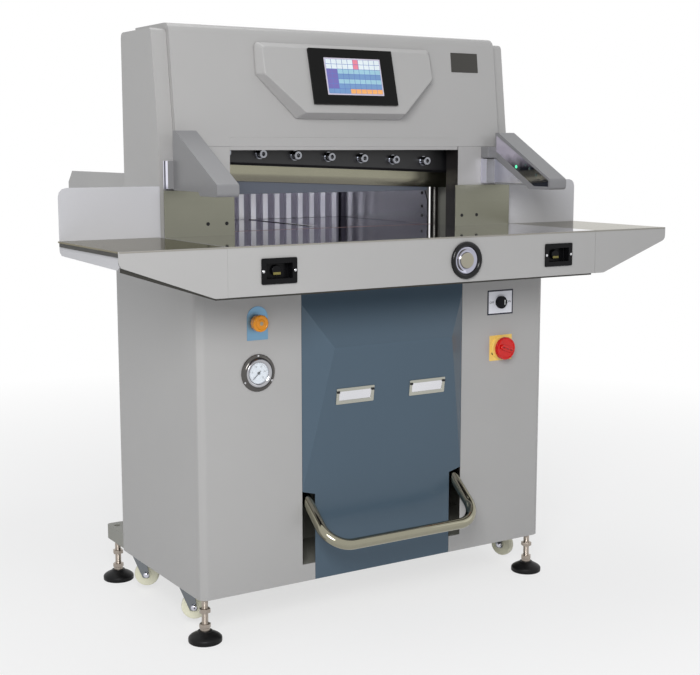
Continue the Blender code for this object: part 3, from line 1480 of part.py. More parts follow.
def build_hydraulic_unit():
    """The oil tank on the base, with the pump's motor and the filler cap on its lid."""
    floor = BASE_TOP + GAP
    top = floor + TANK_HEIGHT
    bm = prism(
        new(),
        rounded_rectangle(-TANK_HALF, TANK_HALF, TANK_FRONT, TANK_REAR, CABINET_CORNER),
        "Z",
        floor,
        top,
    )
    unit = make_object("hydraulic_unit", bm, painted_frame)
    profile = [(0, top - BITE), (MOTOR_RADIUS, top - BITE)]
    pitch = MOTOR_HEIGHT / (FIN_COUNT + 1)
    for i in range(FIN_COUNT):
        low = top + pitch * (i + 1 / 2)
        profile += [
            (MOTOR_RADIUS, low),
            (MOTOR_RADIUS - FIN_DEPTH, low),
            (MOTOR_RADIUS - FIN_DEPTH, low + pitch / 2),
            (MOTOR_RADIUS, low + pitch / 2),
        ]
    profile += [(MOTOR_RADIUS, top + MOTOR_HEIGHT), (0, top + MOTOR_HEIGHT)]
    extras = lathe(new(), profile, "Z", (MOTOR_X, MOTOR_Y, 0))
    cap = [(0, top - BITE), (CAP_RADIUS, top - BITE), (CAP_RADIUS, top + CAP_HEIGHT), (0, top + CAP_HEIGHT)]
    lathe(extras, cap, "Z", (CAP_X, MOTOR_Y, 0))
    join(unit, extras)
    return unit


def cover_profile(inset):
    """The front cover's side outline, drawn in by a wall, open behind and below for the cavity."""
    lean = COVER_LEAN / (COVER_TOP - COVER_BOTTOM)
    bottom = COVER_BOTTOM - (OVERRUN if inset else 0)
    rear = BODY_DEPTH - SHEET - GAP + (OVERRUN if inset else 0)
    top = COVER_TOP - inset
    face_bottom = COVER_FACE + inset + lean * (bottom - COVER_BOTTOM)
    face_top = COVER_FACE + inset + lean * (top - COVER_BOTTOM)
    return rounded(
        [
            (rear, bottom, 0),
            (rear, top, 0),
            (face_top, top, COVER_ROLL - inset),
            (face_bottom, bottom, 0),
        ]
    )


def build_front_cover():
    """The centre cover of the upper housing, leaning back, with its lip above the cutting opening."""
    half = COVER_HALF
    cover = make_object("front_cover", prism(new(), cover_profile(0), "X", -half, half), painted_light)
    cavity = prism(new(), cover_profile(SHEET), "X", SHEET - half, half - SHEET)
    cut(cover, cavity)
    lip = box(
        new(),
        GAP * 2 - POST_INNER,
        POST_INNER - GAP * 2,
        COVER_FACE + SHEET / 2,
        COVER_FACE + SHEET * 2,
        COVER_BOTTOM - COVER_LIP,
        COVER_BOTTOM + OVERRUN,
    )
    join(cover, lip)
    return cover


def end_profile(inset):
    """The end cover's side outline, drawn in by a wall, open below for the cavity."""
    bottom = END_BOTTOM - (OVERRUN if inset else 0)
    return rounded(
        [
            (inset, bottom, 0),
            (BODY_DEPTH - inset, bottom, 0),
            (BODY_DEPTH - inset, BODY_HEIGHT - inset, END_ROLL - inset),
            (END_LEAN + inset, BODY_HEIGHT - inset, END_ROLL - inset),
            (inset, END_LEAN_START, 0),
        ]
    )


def build_end_cover(name, side):
    """One end cover of the upper housing, of one sheet with the front plate of its post."""
    inner = COVER_HALF + GAP
    bm = prism(new(), end_profile(0), "X", side * inner, side * BODY_HALF)
    cover = make_object(f"end_cover_{name}", bm, painted_light)
    cut(cover, prism(new(), end_profile(SHEET), "X", side * (inner - OVERRUN), side * (BODY_HALF - SHEET)))
    step = COVER_HALF - GAP
    post = [
        (POST_INNER, JAMB_DEPTH),
        (POST_INNER, COVER_FACE),
        (step + SHEET, COVER_FACE),
        (step + SHEET, SHEET),
        (step, SHEET),
        (step, COVER_FACE + SHEET),
        (POST_INNER + SHEET, COVER_FACE + SHEET),
        (POST_INNER + SHEET, JAMB_DEPTH),
    ]
    join(cover, prism(new(), mirrored(post, side), "Z", END_BOTTOM, COVER_BOTTOM - GAP))
    return cover


def louvres(centre_x, bottom, face):
    """A stack of ventilation slots through a sheet whose outer side is the face."""
    slots = new()
    for i in range(LOUVRE_COUNT):
        z = bottom + i * LOUVRE_PITCH
        outline = rounded_rectangle(
            centre_x - LOUVRE_LENGTH / 2,
            centre_x + LOUVRE_LENGTH / 2,
            z,
            z + LOUVRE_WIDTH,
            LOUVRE_WIDTH / 3,
            1,
        )
        prism(slots, outline, "Y", face - OVERRUN, face + OVERRUN)
    return slots


def build_rear_cover():
    """The back of the upper housing, with its ventilation slots."""
    half = COVER_HALF
    bm = box(new(), -half, half, BODY_DEPTH - SHEET, BODY_DEPTH, REAR_PANEL_BOTTOM, COVER_TOP)
    cover = make_object("rear_cover", bm, painted_light)
    cut(cover, louvres(0, REAR_PANEL_BOTTOM + LOUVRE_LENGTH, BODY_DEPTH))
    return cover


def build_lower_rear_panel():
    """The panel between the cabinets at the back, with ventilation slots for the hydraulic unit."""
    half = CABINET_INNER - GAP
    bm = box(new(), -half, half, CABINET_REAR - SHEET, CABINET_REAR, BASE_TOP + GAP, REAR_COVER_BOTTOM)
    panel = make_object("lower_rear_panel", bm, painted_light)
    cut(panel, louvres(0, BASE_TOP + LOUVRE_LENGTH, CABINET_REAR))
    return panel


def lay_on_cover(obj):
    """Leans an object that is drawn upright at the cover's lower edge."""
    obj.location = (0, COVER_FACE, COVER_BOTTOM)
    obj.rotation_euler = (-LEAN_ANGLE, 0, 0)
    return obj


def build_console_bezel():
    """The raised six-sided bezel round the screen, tapering towards its front face."""
    corners = [
        (BEZEL_HALF_BOTTOM, BEZEL_BOTTOM),
        (BEZEL_HALF_TOP, BEZEL_SHOULDER),
        (BEZEL_HALF_TOP, BEZEL_TOP),
        (-BEZEL_HALF_TOP, BEZEL_TOP),
        (-BEZEL_HALF_TOP, BEZEL_SHOULDER),
        (-BEZEL_HALF_BOTTOM, BEZEL_BOTTOM),
    ]
    outer = rounded([(a, b, BEZEL_CORNER) for a, b in corners])
    middle = Vector((0, (BEZEL_TOP + BEZEL_BOTTOM) / 2))
    share_a = 1 - BEZEL_TAPER / BEZEL_HALF_TOP
    share_b = 1 - BEZEL_TAPER / (BEZEL_TOP - middle.y)
    inner = [(a * share_a, middle.y + (b - middle.y) * share_b) for a, b in outer]
    bm = new()
    rings = []
    for outline, depth in ((outer, -GAP), (outer, -BEZEL_DEPTH / 3), (inner, -BEZEL_DEPTH)):
        rings.append([bm.verts.new((a, depth, b)) for a, b in outline])
    bm.faces.new(rings[0])
    bm.faces.new(reversed(rings[-1]))
    count = len(outer)
    for low, high in zip(rings, rings[1:]):
        for i in range(count):
            following = (i + 1) % count
            bm.faces.new((low[i], low[following], high[following], high[i]))
    return lay_on_cover(make_object("console_bezel", bm, painted_light))


def build_touch_screen():
    """The black screen frame on the bezel, with its display a little sunk."""
    front = -BEZEL_DEPTH - SCREEN_DEPTH
    half_width = SCREEN_WIDTH / 2
    low = SCREEN_CENTRE - SCREEN_HEIGHT / 2
    outline = rounded_rectangle(-half_width, half_width, low, low + SCREEN_HEIGHT, SCREEN_CORNER)
    bm = prism(new(), outline, "Y", -BEZEL_DEPTH - GAP, front)
    screen = make_object("touch_screen", bm, black_plastic)
    display_low = SCREEN_CENTRE - DISPLAY_HEIGHT / 2
    well = box(
        new(),
        -DISPLAY_WIDTH / 2,
        DISPLAY_WIDTH / 2,
        front - OVERRUN,
        front + DISPLAY_SINK,
        display_low,
        display_low + DISPLAY_HEIGHT,
    )
    helper = cut(screen, well)
    lay_on_cover(screen)
    lay_on_cover(helper)
    return screen


def arm_slope(drop):
    """Two points of a line under the arm's sloping edge, at a drop measured upright."""
    start = Vector((ARM_BACK - ARM_TOP_FLAT, ARM_TOP - drop))
    end = Vector((ARM_NOSE, ARM_NOSE_TOP - drop))
    return start, end


def lens_outline():
    """The lens band along the slope of the arm, on its inner side."""
    start, end = arm_slope(LENS_INSET)
    low_start, low_end = arm_slope(LENS_INSET + LENS_BAND)
    slope = (end.y - start.y) / (end.x - start.x)
    back = ARM_BACK - LENS_INSET / 2
    nose = ARM_NOSE + LENS_INSET
    floor = ARM_NOSE_BOTTOM + LENS_INSET
    return [
        (back, start.y + (back - start.x - LENS_INSET) * slope),
        (nose, start.y + (nose - start.x) * slope),
        (nose, floor),
        (low_start.x + (floor - low_start.y) / slope, floor),
        (back, low_start.y + (back - low_start.x) * slope),
    ]


def build_light_arm(name, side):
    """One light-curtain arm: a three-cornered housing with a rounded nose, a lens recess and its bracket."""
    outline = rounded(
        [
            (ARM_BACK, ARM_HEEL, 0),
            (ARM_BACK, ARM_TOP, ARM_ROUND / 4),
            (ARM_BACK - ARM_TOP_FLAT, ARM_TOP, ARM_ROUND / 2),
            (ARM_NOSE, ARM_NOSE_TOP, ARM_ROUND),
            (ARM_NOSE, ARM_NOSE_BOTTOM, ARM_ROUND),
            (ARM_STEP_Y, ARM_NOSE_BOTTOM, 0),
            (ARM_STEP_Y + ARM_ROUND, ARM_HEEL, 0),
        ]
    )
    arm = make_object(
        f"light_arm_{name}",
        prism(new(), outline, "X", side * ARM_INNER, side * ARM_OUTER),
        painted_light,
    )
    join(
        arm,
        box(
            new(),
            side * ARM_FLANGE_INNER,
            side * (ARM_INNER + ARM_TOP_FLAT),
            ARM_BACK - ARM_TOP_FLAT / 2,
            POST_PLANE,
            ARM_FLANGE_BOTTOM,
            ARM_FLANGE_TOP,
        ),
    )
    join(
        arm,
        box(
            new(),
            side * ARM_FLANGE_INNER,
            side * BRACKET_OUTER,
            ARM_BACK - BITE,
            POST_PLANE,
            BRACKET_BOTTOM,
            BRACKET_TOP,
        ),
    )
    recess = prism(new(), lens_outline(), "X", side * (ARM_INNER - OVERRUN), side * (ARM_INNER + LENS_DEPTH))
    cut(arm, recess)
    return arm


def foot_bar_path():
    """The bar's bent centreline, from the left end of the shaft round to the right one."""
    down = (Vector((0, FOOT_BAR_Y, FOOT_BAR_Z)) - Vector((0, FOOT_PIVOT_Y, FOOT_PIVOT_Z))).normalized()
    corner = Vector((-FOOT_ARM_X, FOOT_BAR_Y, FOOT_BAR_Z))
    across = Vector((1, 0, 0))
    centre = corner - down * FOOT_BEND + across * FOOT_BEND
    left = [Vector((-FOOT_ARM_X, FOOT_PIVOT_Y, FOOT_PIVOT_Z))]
    steps = CORNER_STEPS * 2
    for step in range(steps + 1):
        angle = math.pi / 2 * step / steps
        left.append(centre + (down * math.sin(angle) - across * math.cos(angle)) * FOOT_BEND)
    right = [Vector((-point.x, point.y, point.z)) for point in reversed(left)]
    return left + right, down.cross(across).normalized()


def build_foot_bar():
    """The chrome foot bar with the shaft that it turns on."""
    pivot = (0, FOOT_PIVOT_Y, FOOT_PIVOT_Z)
    path, normal = foot_bar_path()
    bm = sweep_tube(new(), path, FOOT_TUBE_RADIUS, FOOT_SIDES, normal)
    bar = make_object("foot_bar", bm, chrome, pivot)
    shaft = circle(FOOT_PIVOT_Y, FOOT_PIVOT_Z, FOOT_SHAFT_RADIUS)
    join(bar, prism(new(), shaft, "X", -FOOT_SHAFT_HALF, FOOT_SHAFT_HALF))
    hub = circle(FOOT_PIVOT_Y, FOOT_PIVOT_Z, FOOT_TUBE_RADIUS + ROD_CLEARANCE)
    reach = FOOT_TUBE_RADIUS + BITE
    for name, side in SIDES:
        join(bar, prism(new(), hub, "X", side * (FOOT_ARM_X - reach), side * (FOOT_ARM_X + reach)))
    return bar


def build_button_box(name, side):
    """One black box in the apron: a flange with a well, and a bore for the button at its bottom."""
    front = APRON_FACE - GAP
    middle = side * BOX_X
    flange = rounded_rectangle(
        middle - BOX_WIDTH / 2,
        middle + BOX_WIDTH / 2,
        BOX_Z - BOX_HEIGHT / 2,
        BOX_Z + BOX_HEIGHT / 2,
        BOX_CORNER,
    )
    bm = prism(new(), flange, "Y", front - BOX_FLANGE, front)
    obj = make_object(f"button_box_{name}", bm, black_plastic)
    half_width = BOX_WIDTH / 2 - BOX_MARGIN
    half_height = BOX_HEIGHT / 2 - BOX_MARGIN
    body = rectangle(middle - half_width, middle + half_width, BOX_Z - half_height, BOX_Z + half_height)
    join(obj, prism(new(), body, "Y", front - BOX_FLANGE / 2, front + BOX_DEPTH))
    half_width -= SHEET
    half_height -= SHEET
    well = rectangle(middle - half_width, middle + half_width, BOX_Z - half_height, BOX_Z + half_height)
    cut(obj, prism(new(), well, "Y", front - OVERRUN, front + BOX_WELL))
    bore = circle(middle, BOX_Z, BUTTON_RADIUS + GAP)
    cut(obj, prism(new(), bore, "Y", front, front + BOX_DEPTH - SHEET))
    return obj


def build_cut_button(name, side):
    """One push button, guided in the bore at the bottom of its box."""
    floor = APRON_FACE - GAP + BOX_WELL
    deep = APRON_FACE - GAP + BOX_DEPTH - SHEET - BUTTON_TRAVEL - GAP
    profile = [
        (0, deep),
        (BUTTON_RADIUS, deep),
        (BUTTON_RADIUS, floor - BUTTON_PROUD + BITE),
        (BUTTON_RADIUS - BITE, floor - BUTTON_PROUD),
        (0, floor - BUTTON_PROUD),
    ]
    centre = (side * BOX_X, 0, BOX_Z)
    origin = (side * BOX_X, floor, BOX_Z)
    return make_object(f"cut_button_{name}", lathe(new(), profile, "Y", centre), black_plastic, origin)


def build_handwheel():
    """The handwheel: a black rim round a bright dish, with a flat hub in the middle."""
    rim = WHEEL_RADIUS
    depth = WHEEL_DEPTH
    dish = rim - WHEEL_LIP
    profile = [
        (0, 0),
        (rim - WHEEL_LIP, 0),
        (rim, -WHEEL_LIP),
        (rim, WHEEL_LIP / 2 - depth),
        (rim - WHEEL_LIP / 2, -depth),
        (dish, -depth),
        (dish - WHEEL_LIP / 4, WHEEL_LIP / 4 - depth),
        (HUB_RADIUS + WHEEL_LIP / 4, WHEEL_LIP - HUB_DEPTH),
        (HUB_RADIUS, WHEEL_LIP - HUB_DEPTH),
        (HUB_RADIUS, -HUB_DEPTH),
        (0, -HUB_DEPTH),
    ]
    centre = (WHEEL_X, APRON_FACE - GAP, WHEEL_Z)
    return make_object("handwheel", lathe(new(), profile, "Y", centre, FINE_STEPS), black_plastic, centre)


def build_pressure_knob():
    """The orange faceted knob: a flange, a notched grip and a domed cap."""
    face = CABINET_FRONT - GAP
    bm = new()
    steps = KNOB_FACETS * 2
    rings = []
    levels = (
        (KNOB_RADIUS * 1 / 2, 0, False),
        (KNOB_RADIUS, 0, False),
        (KNOB_RADIUS, -KNOB_DEPTH / 6, False),
        (KNOB_RADIUS, -KNOB_DEPTH / 4, True),
        (KNOB_RADIUS * 9 / 10, -KNOB_DEPTH * 4 / 5, True),
        (KNOB_RADIUS * 3 / 5, -KNOB_DEPTH, False),
    )
    for radius, height, notched in levels:
        ring = []
        for i in range(steps):
            angle = 2 * math.pi * i / steps
            reach = radius - (KNOB_NOTCH if notched and i % 2 else 0)
            ring.append(
                bm.verts.new(
                    (
                        KNOB_X + reach * math.cos(angle),
                        face + height,
                        KNOB_Z + reach * math.sin(angle),
                    )
                )
            )
        rings.append(ring)
    bm.faces.new(rings[0])
    bm.faces.new(reversed(rings[-1]))
    for low, high in zip(rings, rings[1:]):
        for i in range(steps):
            following = (i + 1) % steps
            bm.faces.new((low[i], low[following], high[following], high[i]))
    return make_object("pressure_knob", bm, orange_plastic, (KNOB_X, face, KNOB_Z))


def build_pressure_gauge():
    """The gauge: flange on the cabinet, rim, sunk dial and the body behind the sheet."""
    face = CABINET_FRONT - GAP
    rim = DIAL_RADIUS
    profile = [
        (0, DIAL_BODY),
        (rim, DIAL_BODY),
        (rim, 0),
        (DIAL_FLANGE_RADIUS, 0),
        (DIAL_FLANGE_RADIUS, -DIAL_FLANGE),
        (rim + DIAL_RIM, -DIAL_FLANGE),
        (rim + DIAL_RIM, DIAL_RIM / 2 - DIAL_PROUD),
        (rim + DIAL_RIM / 2, -DIAL_PROUD),
        (rim, -DIAL_PROUD),
        (rim, DIAL_WELL - DIAL_PROUD),
        (0, DIAL_WELL - DIAL_PROUD),
    ]
    return make_object(
        "pressure_gauge",
        lathe(new(), profile, "Y", (DIAL_X, face, DIAL_Z), FINE_STEPS),
        chrome,
        (DIAL_X, face, DIAL_Z),
    )


def build_gauge_needle():
    """The needle over the dial, pointing down to the left, with its boss and tail."""
    dial = CABINET_FRONT - GAP + DIAL_WELL - DIAL_PROUD - GAP
    outline = [
        (-NEEDLE_HALF, -NEEDLE_TAIL),
        (NEEDLE_HALF, -NEEDLE_TAIL),
        (NEEDLE_HALF / 3, NEEDLE_LENGTH),
        (-NEEDLE_HALF / 3, NEEDLE_LENGTH),
    ]
    turned = []
    lean = math.radians(135)
    for a, b in outline:
        turned.append(
            (
                DIAL_X + a * math.cos(lean) - b * math.sin(lean),
                DIAL_Z + a * math.sin(lean) + b * math.cos(lean),
            )
        )
    bm = prism(new(), turned, "Y", dial - NEEDLE_THICKNESS * 2, dial - NEEDLE_THICKNESS)
    needle = make_object("gauge_needle", bm, black_plastic, (DIAL_X, dial, DIAL_Z))
    boss = circle(DIAL_X, DIAL_Z, NEEDLE_BOSS, SMALL_STEPS)
    join(needle, prism(new(), boss, "Y", dial - NEEDLE_THICKNESS * 3, dial))
    return needle


def build_rotary_switch(name, x, z, radius, depth, grip_half, grip_depth, lean, material):
    """A round switch head with a raised grip across it."""
    face = CABINET_FRONT - GAP
    profile = [
        (0, 0),
        (radius, 0),
        (radius, BITE - depth),
        (radius - BITE, -depth),
        (0, -depth),
    ]
    bm = lathe(new(), profile, "Y", (x, face, z))
    switch = make_object(name, bm, material, (x, face, z))
    reach = radius - BITE * 2
    outline = []
    for a, b in rounded_rectangle(-grip_half, grip_half, -reach, reach, grip_half / 2):
        turned_a = a * math.cos(lean) - b * math.sin(lean)
        turned_b = a * math.sin(lean) + b * math.cos(lean)
        outline.append((x + turned_a, z + turned_b))
    join(switch, prism(new(), outline, "Y", face - depth - grip_depth, face - depth + BITE))
    return switch


def build_levelling_foot(name, x, y):
    """One levelling foot: pad, stud in the base's thread and two nuts."""
    profile = [
        (0, 0),
        (PAD_RADIUS, 0),
        (PAD_RADIUS, PAD_RIM),
        (NECK_RADIUS * 3 / 2, PAD_HEIGHT),
        (NECK_RADIUS, PAD_HEIGHT),
        (NECK_RADIUS, NECK_HEIGHT),
        (STUD_RADIUS, NECK_HEIGHT),
        (STUD_RADIUS, STUD_TOP),
        (0, STUD_TOP),
    ]
    bm = lathe(new(), profile, "Z", (x, y, 0))
    foot = make_object(f"levelling_foot_{name}", bm, black_plastic, (x, y, 0))
    nuts = new()
    for z in (LOW_NUT_Z, HIGH_NUT_Z):
        prism(nuts, hexagon(x, y, FOOT_NUT_RADIUS), "Z", z, z + FOOT_NUT_HEIGHT)
    join(foot, nuts)
    return foot


def build_caster(name, x, y, turn):
    """One swivel caster: its fork with the axle bolt, and the wheel on it."""
    top = BASE_UNDERSIDE - CASTER_PLATE_THICKNESS - GAP
    crown_bottom = top - FORK_THICKNESS * 2
    axle = CASTER_WHEEL_Z
    trail = CASTER_TRAIL
    legs_top = crown_bottom + BITE
    place_fork = Matrix.Translation((x, y, 0)) @ Matrix.Rotation(turn, 4, "Z")
    crown = lathe(
        new(),
        [
            (0, crown_bottom),
            (CASTER_CROWN_RADIUS, crown_bottom),
            (CASTER_CROWN_RADIUS, top - BITE),
            (CASTER_CROWN_RADIUS - BITE, top),
            (0, top),
        ],
        "Z",
        (0, 0, 0),
    )
    bmesh.ops.transform(crown, matrix=place_fork, verts=crown.verts)
    fork = make_object(f"caster_fork_{name}", crown, zinc, (x, y, top))
    leg_outline = rounded(
        [
            (-CASTER_CROWN_RADIUS * 3 / 4, legs_top, 0),
            (trail - AXLE_HEAD_RADIUS, axle - AXLE_HEAD_RADIUS, AXLE_HEAD_RADIUS / 2),
            (trail + AXLE_HEAD_RADIUS, axle - AXLE_HEAD_RADIUS, AXLE_HEAD_RADIUS / 2),
            (CASTER_CROWN_RADIUS, legs_top, 0),
        ]
    )
    legs = new()
    for sign in (-1, 1):
        inner = sign * (FORK_HALF_WIDTH - FORK_THICKNESS)
        prism(legs, leg_outline, "Y", inner, sign * FORK_HALF_WIDTH)
    bmesh.ops.transform(legs, matrix=place_fork, verts=legs.verts)
    join(fork, legs)
    reach = FORK_HALF_WIDTH + AXLE_HEAD_HEIGHT
    bolt = lathe(
        new(),
        [
            (0, -reach),
            (AXLE_HEAD_RADIUS * 3 / 4, -reach),
            (AXLE_HEAD_RADIUS * 3 / 4, BITE / 2 - FORK_HALF_WIDTH),
            (AXLE_RADIUS, BITE / 2 - FORK_HALF_WIDTH),
            (AXLE_RADIUS, FORK_HALF_WIDTH - BITE / 2),
            (AXLE_HEAD_RADIUS * 3 / 4, FORK_HALF_WIDTH - BITE / 2),
            (AXLE_HEAD_RADIUS * 3 / 4, reach),
            (0, reach),
        ],
        "Y",
        (trail, 0, axle),
        SMALL_STEPS,
    )
    bmesh.ops.transform(bolt, matrix=place_fork, verts=bolt.verts)
    join(fork, bolt)
    half = CASTER_WHEEL_WIDTH / 2
    radius = CASTER_WHEEL_RADIUS
    bore = AXLE_RADIUS + GAP
    wheel_profile = [
        (bore, -half),
        (radius * 2 / 5, -half),
        (radius * 1 / 2, -half * 4 / 5),
        (radius * 19 / 20, -half * 3 / 4),
        (radius, -half / 3),
        (radius, half / 3),
        (radius * 19 / 20, half * 3 / 4),
        (radius * 1 / 2, half * 4 / 5),
        (radius * 2 / 5, half),
        (bore, half),
        (bore, -half),
    ]
    wheel = lathe(new(), wheel_profile, "Y", (trail, 0, axle))
    bmesh.ops.remove_doubles(wheel, verts=wheel.verts, dist=GAP / 10)
    bmesh.ops.transform(wheel, matrix=place_fork, verts=wheel.verts)
    centre = place_fork @ Vector((trail, 0, axle))
    make_object(f"caster_wheel_{name}", wheel, cream_plastic, centre)
    return fork


clear_scene()
machine = bpy.data.objects.new("machine", None)
bpy.context.scene.collection.objects.link(machine)
machine.location = (0, MACHINE_SHIFT, 0)

painted_light = make_material("painted light grey", (0.45, 0.45, 0.45), 0.35)
painted_frame = make_material("painted frame grey", (0.25, 0.26, 0.27), 0.5)
painted_blue = make_material("painted blue grey", (0.08, 0.12, 0.16), 0.35)
polished_steel = make_material("polished steel", (0.60, 0.60, 0.58), 0.2, 1.0)
bright_metal = make_material("bright steel", (0.75, 0.75, 0.74), 0.2, 1.0)
dark_steel = make_material("dark steel", (0.10, 0.10, 0.11), 0.4, 1.0)
black_steel = make_material("blackened steel", (0.010, 0.010, 0.012), 0.4)
aluminium = make_material("aluminium", (0.70, 0.70, 0.72), 0.3, 1.0)
chrome = make_material("chrome", (0.85, 0.85, 0.85), 0.08, 1.0)
zinc = make_material("zinc plate", (0.65, 0.66, 0.66), 0.3, 1.0)
red_plastic = make_material("red plastic", (0.30, 0.01, 0.01), 0.4)
orange_plastic = make_material("orange plastic", (0.85, 0.26, 0.01), 0.3)
black_plastic = make_material("black plastic", (0.012, 0.012, 0.012), 0.35)
cream_plastic = make_material("cream nylon", (0.80, 0.80, 0.60), 0.4)

build_main_frame()
build_centre_panel()
build_lower_rear_panel()
build_table_bed()
build_cutting_stick()
build_apron()
build_rear_table_cover()
build_backgauge()
build_lead_screw()
build_knife_beam()
build_knife_blade()
build_slide_block()
build_clamp_beam()
build_clamp_pull_yoke()
build_clamp_cylinder()
build_knife_cylinder()
build_hydraulic_unit()
build_front_cover()
build_rear_cover()
build_console_bezel()
build_touch_screen()
build_foot_bar()
build_handwheel()
build_pressure_knob()
build_pressure_gauge()
build_gauge_needle()
build_rotary_switch(
    "selector_knob",
    SELECTOR_X,
    SELECTOR_Z,
    SELECTOR_RADIUS,
    SELECTOR_DEPTH,
    GRIP_HALF,
    GRIP_DEPTH,
    0,
    black_plastic,
)
build_rotary_switch(
    "main_switch_knob",
    SWITCH_X,
    SWITCH_Z,
    SWITCH_RADIUS,
    SWITCH_DEPTH,
    SWITCH_GRIP_HALF,
    SWITCH_GRIP_DEPTH,
    0,
    red_plastic,
)
for side_name, side_sign in SIDES:
    build_cabinet(side_name, side_sign)
    build_side_table(side_name, side_sign)
    build_side_fence(side_name, side_sign)
    build_end_cover(side_name, side_sign)
    build_light_arm(side_name, side_sign)
    build_guide_plate(side_name, side_sign)
    build_rear_guide_wall(side_name, side_sign)
    build_pull_handle(side_name, side_sign)
    build_button_box(side_name, side_sign)
    build_cut_button(side_name, side_sign)
    for end_name, foot_y, caster_y in (
        ("front", FOOT_FRONT_Y, CASTER_FRONT_Y),
        ("rear", FOOT_REAR_Y, CASTER_REAR_Y),
    ):
        spot = f"{end_name}_{side_name}"
        build_levelling_foot(spot, side_sign * FOOT_X, foot_y)
        heading = math.radians(-32 if side_sign < 0 else -72)
        build_caster(spot, side_sign * CASTER_X, caster_y, heading)
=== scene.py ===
import math

import bpy
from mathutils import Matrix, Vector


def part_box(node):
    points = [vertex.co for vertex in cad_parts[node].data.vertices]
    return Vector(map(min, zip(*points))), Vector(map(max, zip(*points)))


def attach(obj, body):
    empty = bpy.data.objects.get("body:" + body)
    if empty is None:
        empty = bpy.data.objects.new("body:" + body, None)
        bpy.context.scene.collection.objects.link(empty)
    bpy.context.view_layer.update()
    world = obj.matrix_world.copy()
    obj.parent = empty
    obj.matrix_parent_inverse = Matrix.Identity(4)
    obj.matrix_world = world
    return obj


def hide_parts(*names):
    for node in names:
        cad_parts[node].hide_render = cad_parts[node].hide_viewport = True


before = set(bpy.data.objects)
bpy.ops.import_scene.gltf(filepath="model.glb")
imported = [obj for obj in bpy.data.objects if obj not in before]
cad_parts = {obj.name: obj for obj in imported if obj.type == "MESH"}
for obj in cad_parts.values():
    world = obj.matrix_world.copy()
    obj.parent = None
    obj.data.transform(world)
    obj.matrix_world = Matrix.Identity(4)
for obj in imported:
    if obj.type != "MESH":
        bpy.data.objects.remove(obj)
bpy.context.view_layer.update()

# Camera
# The view of the photograph: level with the lower edge of the upper cover, from the front left,
# through a long lens.
bpy.context.scene.view_settings.view_transform = "Standard"
bpy.ops.object.camera_add(location=(-1.637, -2.8484, 1.075))
camera = bpy.context.object
camera.name = "camera"
camera.rotation_euler = (math.radians(81.633), 0, math.radians(-32.208))
camera.data.sensor_width = 36
camera.data.lens = 66.76
camera.data.dof.use_dof = False
bpy.context.scene.camera = camera

# Floor and light
# A plain white studio: a pale floor that keeps the shadow, a large soft lamp in front on the left,
# a weaker one on the right, one above and even light from all round.


def linear(red, green, blue):
    """The shader's colour for a colour as it is seen, 0 to 255."""
    seen = (red, green, blue)
    shares = ((c / 255 / 12.92) if c <= 10 else ((c / 255 + 0.055) / 1.055) ** 2.4 for c in seen)
    return (*shares, 1)


def deselect():
    if bpy.context.object and bpy.context.object.mode != "OBJECT":
        bpy.ops.object.mode_set(mode="OBJECT")
    bpy.ops.object.select_all(action="DESELECT")


def add_node(tree, kind, operation=None, *feeds, **named_feeds):
    """A shader node. Each feed is a value or another node's output, by number or by socket name."""
    made = tree.nodes.new(f"ShaderNode{kind}")
    if operation:
        made.operation = operation
    named = [(name.replace("_", " "), feed) for name, feed in named_feeds.items()]
    for socket, feed in [*enumerate(feeds), *named]:
        if isinstance(feed, bpy.types.NodeSocket):
            tree.links.new(feed, made.inputs[socket])
        else:
            made.inputs[socket].default_value = feed
    return made


def seen_share(tree):
    """One where a camera, glossy or transmission ray looks, else nothing."""
    ray = add_node(tree, "LightPath").outputs
    mirrored = add_node(tree, "Math", "MAXIMUM", ray["Is Camera Ray"], ray["Is Glossy Ray"])
    seen = add_node(tree, "Math", "MAXIMUM", mirrored.outputs[0], ray["Is Transmission Ray"])
    return seen.outputs[0]


deselect()
bpy.ops.mesh.primitive_plane_add(size=60)
floor = bpy.context.object
floor.name = "studio_floor"
floor_skin = bpy.data.materials.new("studio_floor")
floor_skin.use_nodes = True
tree = floor_skin.node_tree
matt = tree.nodes["Principled BSDF"]
matt.inputs["Base Color"].default_value = linear(246, 246, 246)
matt.inputs["Roughness"].default_value = 0.9
white = add_node(tree, "Emission")
place = add_node(tree, "TexCoord").outputs["Object"]
away = add_node(tree, "VectorMath", "LENGTH", place).outputs["Value"]
fade = add_node(
    tree, "MapRange", Value=away, From_Min=0.9, From_Max=3.0, To_Min=0.66, To_Max=1.0
)
share = add_node(tree, "Math", "MULTIPLY", seen_share(tree), fade.outputs["Result"])
blend = add_node(tree, "MixShader", None, share.outputs[0], matt.outputs[0], white.outputs[0])
tree.links.new(blend.outputs[0], tree.nodes["Material Output"].inputs["Surface"])
floor.data.materials.append(floor_skin)

world = bpy.data.worlds.new("studio")
bpy.context.scene.world = world
world.use_nodes = True
tree = world.node_tree
around = tree.nodes["Background"]
around.inputs["Color"].default_value = linear(236, 238, 241)
around.inputs["Strength"].default_value = 0.38
backdrop = add_node(tree, "Background", Color=(1, 1, 1, 1))
blend = add_node(tree, "MixShader", None, seen_share(tree), around.outputs[0], backdrop.outputs[0])
tree.links.new(blend.outputs[0], tree.nodes["World Output"].inputs["Surface"])

